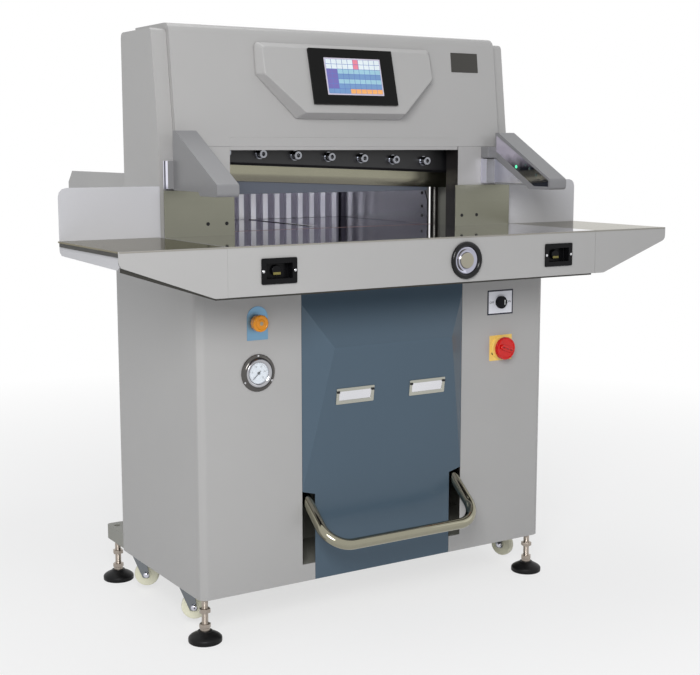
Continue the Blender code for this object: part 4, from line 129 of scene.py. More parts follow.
for name, spot, size, power in (
    ("key_lamp", (-2.0, -3.0, 2.1), 1.6, 74),
    ("fill_lamp", (3.4, -2.6, 2.4), 2.2, 6),
    ("top_lamp", (0.2, 0.4, 4.2), 2.5, 30),
):
    deselect()
    bpy.ops.object.light_add(type="AREA", location=spot)
    lamp = bpy.context.object
    lamp.name = name
    lamp.data.shape = "DISK"
    lamp.data.size = size
    lamp.data.energy = power
    aim = bpy.data.objects.new(f"{name}_aim", None)
    bpy.context.scene.collection.objects.link(aim)
    aim.location = (0, -0.1, 0.75)
    track = lamp.constraints.new("TRACK_TO")
    track.target = aim
    track.track_axis = "TRACK_NEGATIVE_Z"
    track.up_axis = "UP_Y"

# Base and frame of the machine
# One heavy weldment: base plate, two side frames and the beams between them, brushed with grey
# machine enamel. Only the base's rear corners show in front, and the inside through the table.


def effect_of(name, **inputs):
    """An effect group with named inputs, which puts out colour, roughness and height."""
    group = bpy.data.node_groups.new(name, "ShaderNodeTree")
    for socket, value in inputs.items():
        kind = {3: "Vector", 4: "Color"}[len(value)] if isinstance(value, tuple) else "Float"
        made = group.interface.new_socket(socket, in_out="INPUT", socket_type=f"NodeSocket{kind}")
        made.default_value = value
    for socket, kind in (("Colour", "Color"), ("Roughness", "Float"), ("Height", "Float")):
        group.interface.new_socket(socket, in_out="OUTPUT", socket_type=f"NodeSocket{kind}")
    return group, group.nodes.new("NodeGroupInput").outputs


def put_out(group, *results):
    """Joins an effect's colour, roughness and height to its exit."""
    leave = group.nodes.new("NodeGroupOutput")
    for result, socket in zip(results, leave.inputs):
        group.links.new(result, socket)
    return group


def clouded(group, place, colour, scale, detail, low, high):
    """A cloud over the piece, and a colour that it makes darker and lighter."""
    cloud = add_node(group, "TexNoise", Vector=place, Scale=scale, Detail=detail).outputs["Fac"]
    tone = add_node(group, "MapRange", Value=cloud, To_Min=low, To_Max=high).outputs["Result"]
    return cloud, add_node(group, "VectorMath", "SCALE", colour, Scale=tone).outputs[0]


def paint_effect():
    """Sprayed or brushed paint: slightly uneven colour, handling marks and orange peel."""
    group, given = effect_of("paint_effect", Paint=(0.5, 0.5, 0.5, 1), Gloss=0.35, Peel=500)
    place = add_node(group, "TexCoord").outputs["Object"]
    tint = clouded(group, place, given["Paint"], 3.5, 5, 0.96, 1.04)[1]
    marks = add_node(group, "TexNoise", Vector=place, Scale=14, Detail=8).outputs["Fac"]
    rub = add_node(group, "MapRange", Value=marks, To_Min=-0.02, To_Max=0.02).outputs["Result"]
    rough = add_node(group, "Math", "ADD", given["Gloss"], rub)
    peel = add_node(group, "TexNoise", Vector=place, Scale=given["Peel"], Detail=2)
    return put_out(group, tint, rough.outputs[0], peel.outputs["Fac"])


def skin(name, effect, values, relief, metallic=0.0, coat=0.0, light=0.0, alpha=1.0, shine=0.5):
    """A material whose colour, roughness and relief come from an effect with its own values."""
    material = bpy.data.materials.new(name)
    material.use_nodes = True
    tree = material.node_tree
    shader = tree.nodes["Principled BSDF"].inputs
    shader["Metallic"].default_value = metallic
    shader["Coat Weight"].default_value = coat
    shader["Alpha"].default_value = alpha
    shader["Specular IOR Level"].default_value = shine
    group = add_node(tree, "Group")
    group.node_tree = effect
    for socket, value in values.items():
        group.inputs[socket].default_value = value
    tree.links.new(group.outputs["Colour"], shader["Base Color"])
    tree.links.new(group.outputs["Roughness"], shader["Roughness"])
    if light:
        tree.links.new(group.outputs["Colour"], shader["Emission Color"])
        shader["Emission Strength"].default_value = light
    bump = add_node(tree, "Bump", Strength=1.0, Distance=relief, Height=group.outputs["Height"])
    tree.links.new(bump.outputs["Normal"], shader["Normal"])
    return material


paint = paint_effect()


def painted(name, colour, gloss, peel, relief, shine=0.5):
    """A paint of a colour, with its gloss and the fineness of its orange peel."""
    values = {"Paint": linear(*colour), "Gloss": gloss, "Peel": peel}
    return skin(name, paint, values, relief, shine=shine)


def activate(piece):
    deselect()
    piece.select_set(True)
    bpy.context.view_layer.objects.active = piece


def settle(piece, name, material, body="frame", nodes=(), angle=32):
    """Names a finished piece, puts its place in its mesh and gives it its skin and body."""
    activate(piece)
    bpy.ops.object.transform_apply(location=True, rotation=True, scale=True)
    bpy.ops.object.shade_smooth_by_angle(angle=math.radians(angle))
    flat = piece.modifiers.new("flat", "WEIGHTED_NORMAL")
    flat.keep_sharp = True
    bpy.ops.object.modifier_apply(modifier=flat.name)
    piece.name = name
    piece.data.name = name
    piece.data.materials.clear()
    piece.data.materials.append(material)
    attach(piece, body)
    if nodes:
        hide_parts(*nodes)
    return piece


def round_edges(piece, width, segments=2):
    activate(piece)
    bevel = piece.modifiers.new("edges", "BEVEL")
    bevel.width = width
    bevel.segments = segments
    bevel.limit_method = "ANGLE"
    bevel.angle_limit = math.radians(30)
    bpy.ops.object.modifier_apply(modifier=bevel.name)
    return piece


def open_mesh():
    """Opens the active piece's mesh, all of it selected."""
    bpy.ops.object.mode_set(mode="EDIT")
    bpy.ops.mesh.select_all(action="SELECT")


def from_frame(node, width=0.0008, segments=2):
    """A copy of a solid of the frame, its triangles joined and its edges rounded."""
    piece = bpy.data.objects.new(f"{node}_skin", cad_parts[node].data.copy())
    bpy.context.scene.collection.objects.link(piece)
    activate(piece)
    open_mesh()
    bpy.ops.mesh.remove_doubles(threshold=0.00001)
    bpy.ops.mesh.dissolve_limited(angle_limit=math.radians(0.5))
    bpy.ops.object.mode_set(mode="OBJECT")
    return round_edges(piece, width, segments) if width else piece


def dress(node, name, material, body="frame", width=0.0008, segments=2):
    """Replaces a solid of the frame by its own form with rounded edges and a skin."""
    return settle(from_frame(node, width, segments), name, material, body, [node])


enamel = painted("machine_enamel", (146, 146, 138), 0.45, 260, 0.0002)
dress("main_frame", "frame_weldment", enamel, width=0.0015)

# Hydraulics, yoke and screw
# Inside the cabinets: the oil tank with its pump motor, the two cylinders under the table, the yoke
# that pulls the clamp down, the knife's slide block and the screw of the backgauge, oiled steel.


def metal_effect():
    """Worked metal: fine lines along one direction, in gloss and relief, under a cloudy tone."""
    group, given = effect_of(
        "metal_effect", Metal=(0.6, 0.6, 0.6, 1), Lines=(4, 400, 400), Gloss=0.25, Spread=0.08
    )
    place = add_node(group, "TexCoord").outputs["Object"]
    stretch = add_node(group, "VectorMath", "MULTIPLY", place, given["Lines"]).outputs[0]
    lines = add_node(group, "TexNoise", Vector=stretch, Scale=1, Detail=4).outputs["Fac"]
    tint = clouded(group, place, given["Metal"], 6, 6, 0.90, 1.08)[1]
    spread = add_node(group, "Math", "MULTIPLY", lines, given["Spread"]).outputs[0]
    rough = add_node(group, "Math", "ADD", given["Gloss"], spread).outputs[0]
    return put_out(group, tint, rough, lines)


metal = metal_effect()


def metal_skin(name, colour, lines, gloss, spread, relief=0.00001):
    """A bare or plated metal of a colour, with its direction of working and its gloss."""
    values = {"Metal": linear(*colour), "Lines": lines, "Gloss": gloss, "Spread": spread}
    return skin(name, metal, values, relief, metallic=1.0)


oiled_steel = metal_skin("oiled_steel", (92, 91, 88), (300, 300, 6), 0.30, 0.10, 0.00002)
turned_steel = metal_skin("turned_steel", (170, 170, 167), (400, 8, 400), 0.18, 0.08)
for node in ("clamp_cylinder", "knife_cylinder"):
    dress(node, f"{node}_body", oiled_steel, width=0.001)
dress("hydraulic_unit", "oil_tank_and_pump", enamel, width=0.0015)
dress("clamp_pull_yoke", "pull_yoke", oiled_steel, "clamp", 0.001)
dress("knife_slide_block", "slide_block", turned_steel, "knife_block")
dress("lead_screw", "gauge_screw_bar", turned_steel, "gauge_screw", 0)

# Levelling feet
# Four screw feet that lift the machine off its casters: a domed black pad, a nickel-plated stud
# whose end stays inside the base, and two hexagon nuts.


def moulding_effect():
    """Moulded plastic or rubber: an even colour with a fine grain and slightly uneven gloss."""
    group, given = effect_of("moulding_effect", Plastic=(0.1, 0.1, 0.1, 1), Gloss=0.4, Grain=900)
    place = add_node(group, "TexCoord").outputs["Object"]
    cloud, tint = clouded(group, place, given["Plastic"], 25, 4, 0.9, 1.1)
    rub = add_node(group, "MapRange", Value=cloud, To_Min=-0.08, To_Max=0.08).outputs["Result"]
    rough = add_node(group, "Math", "ADD", given["Gloss"], rub)
    grain = add_node(group, "TexNoise", Vector=place, Scale=given["Grain"])
    return put_out(group, tint, rough.outputs[0], grain.outputs["Fac"])


moulding = moulding_effect()


def moulded(name, colour, gloss, grain=700, relief=0.00005, shine=0.3, **finish):
    """A plastic, rubber or printed skin of a colour."""
    values = {"Plastic": linear(*colour), "Gloss": gloss, "Grain": grain}
    return skin(name, moulding, values, relief, shine=shine, **finish)


def close_mesh():
    """Turns all faces outwards and closes the mesh."""
    bpy.ops.mesh.select_all(action="SELECT")
    bpy.ops.mesh.normals_make_consistent(inside=False)
    bpy.ops.object.mode_set(mode="OBJECT")


def turned(profile, steps=64, bored=False):
    """A piece made as on a lathe, upright at the origin: a disc or ring, extruded and widened."""
    deselect()
    radius, height = profile[0]
    fill = "NOTHING" if bored else "NGON"
    bpy.ops.mesh.primitive_circle_add(vertices=steps, radius=radius, fill_type=fill)
    piece = bpy.context.object
    extrude = bpy.ops.mesh.extrude_edges_move if bored else bpy.ops.mesh.extrude_region_move
    open_mesh()
    bpy.ops.transform.translate(value=(0, 0, height))
    for wider, level in profile[1:]:
        extrude(TRANSFORM_OT_translate={"value": (0, 0, level - height)})
        if wider != radius:
            ratio = wider / radius
            bpy.ops.transform.resize(value=(ratio, ratio, 1), center_override=(0, 0, level))
        radius, height = wider, level
    if bored:
        bpy.ops.mesh.select_all(action="SELECT")
        bpy.ops.mesh.remove_doubles(threshold=0.00001)
    close_mesh()
    return piece


def put(piece, location, turn=(0, 0, 0)):
    """Puts a modelled piece at its place."""
    piece.location = location
    piece.rotation_euler = turn
    return piece


def placed(model, location, turn=(0, 0, 0)):
    """A copy of a modelled piece, with its own mesh, at its place."""
    activate(model)
    bpy.ops.object.duplicate()
    return put(bpy.context.object, location, turn)


def scrap(*models):
    """Removes the models of which copies have been placed."""
    for model in models:
        bpy.data.objects.remove(model)


def hexagon_nut(radius, height, bore):
    """A chamfered hexagon nut with its bore, upright at the origin."""
    deselect()
    bpy.ops.mesh.primitive_cylinder_add(
        vertices=6, radius=radius, depth=height, location=(0, 0, height / 2)
    )
    nut = bpy.context.object
    bpy.ops.object.mode_set(mode="EDIT")
    bpy.ops.mesh.select_mode(type="FACE")
    bpy.ops.mesh.select_all(action="DESELECT")
    bpy.ops.object.mode_set(mode="OBJECT")
    for face in nut.data.polygons:
        face.select = abs(face.normal.z) > 0.5
    bpy.ops.object.mode_set(mode="EDIT")
    bpy.ops.mesh.inset(thickness=radius - bore)
    bpy.ops.mesh.bridge_edge_loops()
    bpy.ops.object.mode_set(mode="OBJECT")
    return round_edges(nut, radius * 0.09)


pad_rubber = moulded("pad_rubber", (20, 20, 21), 0.42, 700, 0.0001, shine=0.2)
nickel = metal_skin("dull_nickel", (168, 158, 148), (60, 60, 300), 0.22, 0.15, 0.00003)
stud_radius, stud_top = 0.0074, 0.1278
thread_start, thread_pitch, thread_turns = 0.0345, 0.0022, 42
stud_profile = [(0.0113, 0.0262), (0.0113, 0.0325), (0.0100, 0.0335), (stud_radius, 0.0340)]
for step in range(thread_turns):
    crest = thread_start + step * thread_pitch
    stud_profile += [(stud_radius, crest), (stud_radius - 0.0004, crest + thread_pitch / 2)]
stud_profile += [(0.0060, stud_top)]
pad_profile = [
    (0.0001, 0.0000), (0.0355, 0.0000), (0.0371, 0.0014), (0.0374, 0.0036), (0.0374, 0.0040),
    (0.0369, 0.0044), (0.0374, 0.0048), (0.0374, 0.0092), (0.0368, 0.0108), (0.0352, 0.0128),
    (0.0322, 0.0152), (0.0285, 0.0174), (0.0245, 0.0195), (0.0205, 0.0214), (0.0172, 0.0230),
    (0.0160, 0.0240), (0.0158, 0.0257), (0.0150, 0.0260), (0.0001, 0.0260),
]
pad_model = turned(pad_profile, 72)
stud_model = turned(stud_profile, 32)
nut_model = hexagon_nut(0.0134, 0.0096, 0.0076)
corners = ("front_left", "front_right", "rear_left", "rear_right")
for spot in corners:
    low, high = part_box(f"levelling_foot_{spot}")
    middle = (low + high) / 2
    here = (middle.x, middle.y, 0)
    body = f"foot_{spot}"
    foot = placed(pad_model, here)
    settle(foot, f"foot_pad_{spot}", pad_rubber, body, [f"levelling_foot_{spot}"])
    settle(placed(stud_model, here), f"foot_stud_{spot}", nickel, body)
    for level, height, turn in (("lower", 0.0367, 0.3), ("upper", 0.0712, 0.8)):
        nut = placed(nut_model, (middle.x, middle.y, height), (0, 0, turn))
        settle(nut, f"foot_nut_{level}_{spot}", nickel, body)
scrap(pad_model, stud_model, nut_model)

# Casters
# Four small swivel casters, just clear of the floor: a pressed plated fork on its crown, a cream
# nylon wheel on its bolt, and two black cap screws that show at the edge of the top plate.


def cap_screw(radius, height, recess=0.5):
    """A socket head cap screw, upright at the origin."""
    rim = radius * 0.12
    top = height - rim
    screw = turned(
        [(0.0001, 0), (radius, 0), (radius, top), (radius - rim, height), (0.0001, height)], 32
    )
    bpy.ops.mesh.primitive_cylinder_add(
        vertices=6,
        radius=radius * 0.52,
        depth=height,
        location=(0, 0, height * 1.5 - height * recess),
    )
    cutter = bpy.context.object
    activate(screw)
    socket = screw.modifiers.new("socket", "BOOLEAN")
    socket.object = cutter
    socket.operation = "DIFFERENCE"
    bpy.ops.object.modifier_apply(modifier=socket.name)
    scrap(cutter)
    return screw


wheel_nylon = moulded("wheel_nylon", (238, 236, 212), 0.32, 400, 0.0001, coat=0.2)
fork_plate = metal_skin("fork_plating", (122, 126, 130), (60, 60, 60), 0.08, 0.10, 0.00002)
hub_chrome = metal_skin("hub_nut_chrome", (206, 206, 216), (60, 60, 60), 0.06, 0.04, 0.0)
black_screw = moulded("blackened_screw", (26, 26, 27), 0.35, 900, 0.00003)
wheel_side = [
    (0.0053, 0.0104), (0.0108, 0.0104), (0.0122, 0.0090), (0.0205, 0.0086), (0.0232, 0.0094),
    (0.0262, 0.0098), (0.0283, 0.0086), (0.0294, 0.0060), (0.0299, 0.0025),
]
wheel_profile = [(radius, -level) for radius, level in wheel_side] + wheel_side[::-1]
wheel_model = turned(wheel_profile + wheel_profile[:1], bored=True)
hub_model = turned(
    [
        (0.0001, 0), (0.0074, 0), (0.0074, 0.0016), (0.0066, 0.0034), (0.0048, 0.0048),
        (0.0024, 0.0055), (0.0001, 0.0057),
    ],
    32,
)
plate_screw = cap_screw(0.0038, 0.0028)
plate_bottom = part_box("main_frame")[0].z
zero_shift = 0.23635  # the part's own sizes count y from so far in front of the frame's zero
swivel_x = 0.447
swivel_front, swivel_rear = -0.024, 0.243
plate_screw_reach = 0.0185
fork_half = 0.0150
for spot in corners:
    low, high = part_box(f"caster_wheel_{spot}")
    middle = (low + high) / 2
    heading = math.radians(-32 if "left" in spot else -72)
    wheel = placed(wheel_model, middle, (math.pi / 2, 0, heading))
    settle(wheel, f"nylon_wheel_{spot}", wheel_nylon, f"wheel_{spot}", [f"caster_wheel_{spot}"])
    dress(f"caster_fork_{spot}", f"caster_yoke_{spot}", fork_plate, f"fork_{spot}", 0.0005)
    for face, where, about in ((-1, "inner", math.pi), (1, "outer", 0)):
        out_x, out_y = math.sin(heading) * fork_half * face, -math.cos(heading) * fork_half * face
        here = (middle.x + out_x, middle.y + out_y, middle.z)
        hub = placed(hub_model, here, (math.pi / 2, 0, heading + about))
        settle(hub, f"caster_nut_{where}_{spot}", hub_chrome, f"fork_{spot}")
    side = -1 if "left" in spot else 1
    axis_y = (swivel_front if "front" in spot else swivel_rear) - zero_shift
    for end, reach in (("front", -plate_screw_reach), ("rear", plate_screw_reach)):
        here = (side * (swivel_x + plate_screw_reach), axis_y + reach, plate_bottom)
        screw = placed(plate_screw, here, (math.pi, 0, 0))
        settle(screw, f"caster_screw_{end}_{spot}", black_screw)
scrap(wheel_model, hub_model, plate_screw)

# Lower cabinets, rear panels and centre panel
# Folded steel sheets, powder-coated in light grey. The centre panel between the cabinets is a sheet
# folded out to a knee, coated in blue grey, that lifts off by its two pulls.
light_coat = painted("light_grey_coat", (177, 176, 175), 0.26, 420, 0.00005, shine=0.4)
blue_coat = painted("blue_grey_coat", (78, 96, 111), 0.22, 420, 0.00005, shine=0.28)
# the notch for the foot bar has its lower edge here in the solid, and lies lower on the sheet
notch_front, notch_low, notch_high, notch_drop = -0.39, 0.17, 0.19, 0.040
for node in ("left_cabinet", "right_cabinet"):
    sheet = from_frame(node)
    for vertex in sheet.data.vertices:
        if vertex.co.y < notch_front and notch_low < vertex.co.z < notch_high:
            vertex.co.z -= notch_drop
    settle(sheet, f"{node}_sheet", light_coat, "frame", [node])
dress("lower_rear_panel", "lower_rear_panel_sheet", light_coat)
dress("centre_panel", "centre_panel_sheet", blue_coat)

# Pull handles
# Two flush pulls of bright pressed aluminium let into the centre panel: a tray behind a rim, a
# finger flap along the top and a black clip in each upper corner.


def plate(width, height, thickness, corner, arched=False, steps=6):
    """A flat plate in front of the origin, facing forwards, with round corners or a round top."""
    deselect()
    bpy.ops.mesh.primitive_plane_add(size=1, rotation=(math.pi / 2, 0, 0))
    piece = bpy.context.object
    piece.scale = (width, height, 1)
    bpy.ops.object.transform_apply(location=False, rotation=True, scale=True)
    bpy.ops.object.mode_set(mode="EDIT")
    bpy.ops.mesh.select_mode(type="VERT")
    bpy.ops.mesh.select_all(action="DESELECT")
    bpy.ops.object.mode_set(mode="OBJECT")
    for vertex in piece.data.vertices:
        vertex.select = vertex.co.z > 0 or not arched
    bpy.ops.object.mode_set(mode="EDIT")
    bpy.ops.mesh.bevel(offset=corner, segments=steps, affect="VERTICES")
    bpy.ops.mesh.select_all(action="SELECT")
    bpy.ops.mesh.extrude_region_move(TRANSFORM_OT_translate={"value": (0, -thickness, 0)})
    close_mesh()
    return piece


pull_metal = metal_skin("pull_aluminium", (178, 178, 168), (8, 300, 300), 0.22, 0.12)
flap_metal = metal_skin("pull_flap_metal", (228, 228, 232), (8, 300, 300), 0.20, 0.10)
clip_black = moulded("clip_black", (22, 22, 23), 0.4)
pull_lean = math.radians(7.2)
pull_x = 0.099
flap_rise, flap_depth, flap_turn = 0.0010, 0.0022, 0.20
clip_rise, clip_reach = 0.0100, 0.0455
flap_model = round_edges(plate(0.0900, 0.0270, 0.0012, 0.0006), 0.0003)
clip_model = round_edges(plate(0.0075, 0.0050, 0.0016, 0.0008), 0.0003)
sides = ((-1, "left"), (1, "right"))
for side, name in sides:
    low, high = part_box(f"pull_handle_{name}")
    centre_z = (low.z + high.z) / 2
    face_y = low.y + (high.z - centre_z) * math.tan(pull_lean)
    dress(f"pull_handle_{name}", f"pull_tray_{name}", pull_metal, width=0.0007)
    flap_y = face_y - flap_rise * math.sin(pull_lean) + flap_depth
    flap = placed(flap_model, (side * pull_x, flap_y, centre_z + flap_rise), (flap_turn, 0, 0))
    settle(flap, f"pull_flap_{name}", flap_metal)
    clip_y = face_y - clip_rise * math.sin(pull_lean) - 0.0001
    for end, reach in (("left", -clip_reach), ("right", clip_reach)):
        here = (side * pull_x + reach, clip_y, centre_z + clip_rise)
        clip = placed(clip_model, here, (pull_lean, 0, 0))
        settle(clip, f"pull_clip_{end}_{name}", clip_black)
scrap(flap_model, clip_model)

# Foot bar
# One bar of chromed tube, bent twice, that the operator presses to lower the clamp. Its arms end in
# collars on the shaft, which turns in two brackets on the base.
chrome_tube = metal_skin("chromed_tube", (150, 147, 130), (20, 60, 60), 0.03, 0.04, 0.0)
low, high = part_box("foot_bar")
tube_radius = 0.0125
arm_x = 0.2045
bend = 0.058
pivot_y, pivot_z = -0.060 - zero_shift, 0.361
bar_y, bar_z = -0.262 - zero_shift, 0.203
reach = math.hypot(bar_y - pivot_y, bar_z - pivot_z)
down_y, down_z = (bar_y - pivot_y) / reach, (bar_z - pivot_z) / reach
run = reach - bend
deselect()
bpy.ops.mesh.primitive_circle_add(
    vertices=40,
    radius=tube_radius,
    fill_type="NOTHING",
    location=(-arm_x, pivot_y, pivot_z),
    rotation=(math.atan2(-down_y, down_z), 0, 0),
)
tube = bpy.context.object
bpy.ops.object.transform_apply(location=True, rotation=True, scale=True)
open_mesh()
lengthen = bpy.ops.mesh.extrude_edges_move
lengthen(TRANSFORM_OT_translate={"value": (0, down_y * run, down_z * run)})
for side in (-1, 1):
    centre = (side * (arm_x - bend), bar_y - down_y * bend, bar_z - down_z * bend)
    bpy.ops.mesh.spin(
        steps=18, dupli=False, angle=-math.pi / 2, center=centre, axis=(0, down_z, -down_y)
    )
    if side < 0:
        lengthen(TRANSFORM_OT_translate={"value": (2 * (arm_x - bend), 0, 0)})
lengthen(TRANSFORM_OT_translate={"value": (0, -down_y * run, -down_z * run)})
bpy.ops.mesh.select_all(action="SELECT")
bpy.ops.mesh.fill_holes(sides=0)
close_mesh()
settle(tube, "foot_bar_tube", chrome_tube, "foot_bar", ["foot_bar"], angle=60)
shaft_profile = [
    (0.0001, low.x), (0.0092, low.x), (0.0099, low.x + 0.0008),
    (0.0099, high.x - 0.0008), (0.0092, high.x), (0.0001, high.x),
]
sideways = (0, math.pi / 2, 0)
shaft = put(turned(shaft_profile, 40), (0, pivot_y, pivot_z), sideways)
settle(shaft, "foot_bar_shaft", turned_steel, "foot_bar")
collar_profile = [
    (0.0001, -0.0128), (0.0130, -0.0128), (0.0138, -0.0120),
    (0.0138, 0.0120), (0.0130, 0.0128), (0.0001, 0.0128),
]
collar_model = turned(collar_profile, 40)
for side, name in sides:
    collar = placed(collar_model, (side * arm_x, pivot_y, pivot_z), sideways)
    settle(collar, f"foot_bar_collar_{name}", chrome_tube, "foot_bar")
scrap(collar_model)

# Table
# The ground and polished steel bed with the red cutting stick, and the folded apron with painted
# shadow on its undersides and in a dark strip along its lower edge. Each side table has a polished
# steel top, a coated tapered wing, a coated fence painted lighter for the light that the steel top
# throws onto it, and
# painted shade under its edge: dark undersides and a dark strip.


def repaint(piece, material, chosen):
    """Gives a second skin to the faces that chosen(centre, normal) picks."""
    piece.data.materials.append(material)
    slot = len(piece.data.materials) - 1
    for face in piece.data.polygons:
        if chosen(face.center, face.normal):
            face.material_index = slot
    return piece


bed_steel = metal_skin("ground_bed_steel", (196, 194, 200), (5, 200, 200), 0.03, 0.04, 0.0)
dress("table_bed", "bed_plate", bed_steel, width=0.0006)
stick_red = moulded("stick_red", (112, 30, 34), 0.45, 500, 0.0001)
dress("cutting_stick", "cutting_stick_bar", stick_red, width=0.0004)
table_steel = metal_skin("table_top_steel", (142, 138, 126), (5, 200, 200), 0.10, 0.06, 0.0)
table_shader = table_steel.node_tree.nodes["Principled BSDF"]
table_shader.inputs["Specular Tint"].default_value = linear(204, 201, 190)
# painted light: the fences' coat is the cabinets' light grey made lighter, for the light that the
# steel tops throw onto them
fence_coat_painted_light = painted("fence_coat_painted_light", (200, 200, 204), 0.24, 420, 0.00005, shine=0.4)
strip_coat = painted("table_edge_strip", (148, 145, 138), 0.3, 300, 0.0)
# painted shade: this dark skin stands for the shade under the table's edge, on the undersides and
# on the dark strips below
under_table_shade = moulded("painted_shade_under_table", (52, 51, 47), 0.5)
apron_top, wing_top = 0.8770, 0.8762
apron = dress("table_apron", "apron_sheet", light_coat)
repaint(apron, table_steel, lambda centre, normal: centre.z > apron_top)
# the apron's undersides get the painted shade
repaint(apron, under_table_shade, lambda centre, normal: normal.z < -0.7)
# a dark strip of painted shadow along the apron's lower edge, where it overhangs the cabinets
shade_strip_y = -0.5640
shade_strip = put(plate(0.9860, 0.0050, 0.0010, 0.0004), (-0.0180, shade_strip_y, 0.7780))
settle(shade_strip, "apron_shade_strip", under_table_shade)
# a dark strip of painted shade behind the left wing's lower edge
shade_strip = plate(0.0200, 0.0060, 0.0010, 0.0004, steps=1)
for vertex in shade_strip.data.vertices:
    outer, lower = vertex.co.x < 0, vertex.co.z < 0
    drop = (0.0085 if outer else 0.0040) if lower else 0.0
    vertex.co.x = -0.7085 if outer else -0.5105
    vertex.co.z = (0.8490 if outer else 0.7795) - drop
settle(put(shade_strip, (0, shade_strip_y, 0)), "wing_shade_strip", under_table_shade)
strip = round_edges(plate(1.4200, 0.0032, 0.0006, 0.0004), 0.0002)
settle(put(strip, (0, -0.5672, 0.8780)), "table_edge_strip", strip_coat)
for sign, side in sides:
    wing = dress(f"side_table_{side}", f"side_table_sheet_{side}", light_coat)
    # the wing's undersides get the painted shade
    repaint(wing, under_table_shade, lambda centre, normal: normal.z < -0.2)
    repaint(wing, table_steel, lambda centre, normal: centre.z > wing_top)
    fence = from_frame(f"side_fence_{side}")
    for vertex in fence.data.vertices:
        if vertex.co.y < -0.25 and 0.870 < vertex.co.z < 0.875:
            vertex.co.z -= 0.0045  # the edge along the table reaches lower
        if abs(vertex.co.x) > 0.698 and vertex.co.z < 0.853:
            # the skirt's lower edge rises by 7 mm from front to rear
            vertex.co.z += 0.007 * (vertex.co.y + 0.56) / 0.32
    settle(fence, f"fence_sheet_{side}", fence_coat_painted_light, "frame", [f"side_fence_{side}"])
    # a dark strip of painted shade under each side table's outer edge
    shade_plate = plate(0.3180, 0.0075, 0.0012, 0.0008)
    put(shade_plate, (sign * 0.7098, -0.4040, 0.8722), (0, 0, sign * math.pi / 2))
    settle(shade_plate, f"edge_shade_strip_{side}", under_table_shade)

# Guide plates and rear table
# Stainless plates screwed on the posts and polished walls behind them keep the stack square. The
# painted cover closes the rear table.
stainless = metal_skin("brushed_stainless", (134, 134, 121), (6, 200, 200), 0.26, 0.14, 0.00002)
mirror_steel = metal_skin("mirror_steel", (150, 150, 156), (200, 5, 200), 0.16, 0.08, 0.0)
# painted shade: the polished walls' front ends are black for the shade there, not for their own
# colour
wall_end = moulded("wall_end_black", (24, 22, 22), 0.4)
forward = (math.pi / 2, 0, 0)
plate_screw = cap_screw(0.0042, 0.0012, 0.8)
plate_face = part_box("guide_plate_left")[0].y
for side, name in sides:
    dress(f"guide_plate_{name}", f"guide_plate_sheet_{name}", stainless, width=0.0005)
    wall = dress(f"rear_guide_wall_{name}", f"guide_wall_sheet_{name}", mirror_steel, width=0.0005)
    # the walls' front ends get the painted shade
    repaint(wall, wall_end, lambda centre, normal: normal.y < -0.2)
    for place, reach in (("inner", 0.3265), ("outer", 0.3725)):
        screw = placed(plate_screw, (side * reach, plate_face + 0.0002, 0.906), forward)
        settle(screw, f"guide_plate_screw_{place}_{name}", black_screw)
    for place, height in (("upper", 0.958), ("middle", 0.924), ("lower", 0.900)):
        here = (side * 0.3002, 0.117 - zero_shift, height)
        screw = placed(plate_screw, here, (0, -side * math.pi / 2, 0))
        settle(screw, f"guide_wall_screw_{place}_{name}", black_screw)
scrap(plate_screw)
dress("rear_table_cover", "rear_table_sheet", light_coat)

# Backgauge
# A casting with a comb of planed bright fingers, grey between them, which lets the clamp's ribs
# pass.
gauge_grey = painted("gauge_casting_grey", (176, 173, 190), 0.30, 300, 0.00008)
planed = metal_skin("planed_finger_face", (250, 250, 255), (300, 300, 6), 0.34, 0.08, 0.00001)
finger_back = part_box("backgauge")[0].y + 0.0115
comb = dress("backgauge", "backgauge_comb", gauge_grey, "gauge", 0.0006)
repaint(comb, planed, lambda centre, normal: centre.y < finger_back and centre.z > 0.8815)

# Knife, its beam and bolts
# The high-speed steel blade, ground on its front, hangs slanted on a blackened beam by a row of
# chromed socket screws.
blade_steel = metal_skin("ground_blade_steel", (150, 148, 130), (400, 400, 5), 0.20, 0.10)
blackened = painted("blackened_steel", (22, 22, 24), 0.32, 300, 0.0001)
bolt_chrome = metal_skin("bolt_chrome", (150, 152, 158), (60, 60, 60), 0.06, 0.05, 0.0)
dress("knife_blade", "blade_bar", blade_steel, "knife", 0.0002)
dress("knife_beam", "knife_carrier", blackened, "knife", 0.0006)
tilt = math.radians(2.3)
# the bolts are set out along the cutting edge from its middle, and up from it
first_bolt, bolt_pitch, bolt_rise, edge_height = -0.303, 0.092, 0.064, 0.986
beam_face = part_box("knife_beam")[0].y + 0.016
bolt_model = cap_screw(0.0104, 0.0185, 0.45)
washer_model = turned(
    [
        (0.0001, 0), (0.0118, 0), (0.0122, 0.0004), (0.0122, 0.0012), (0.0118, 0.0016),
        (0.0001, 0.0016),
    ],
    40,
)
for count in range(7):
    along = first_bolt + count * bolt_pitch
    x = along * math.cos(tilt) + bolt_rise * math.sin(tilt)
    z = edge_height - along * math.sin(tilt) + bolt_rise * math.cos(tilt)
    spot = (x, beam_face, z)
    bolt = placed(bolt_model, spot, forward)
    settle(bolt, f"knife_bolt_{count + 1}", bolt_chrome, "knife")
    washer = placed(washer_model, spot, forward)
    settle(washer, f"knife_washer_{count + 1}", bolt_chrome, "knife")
scrap(bolt_model, washer_model)

# Clamp
# The cast clamp beam that holds the stack down behind the knife, coated blue grey and hung on the
# two rods of the yoke.
clamp_coat = painted("clamp_coat", (88, 94, 106), 0.32, 350, 0.00012)
dress("clamp_beam", "clamp_casting", clamp_coat, "clamp", 0.0012)

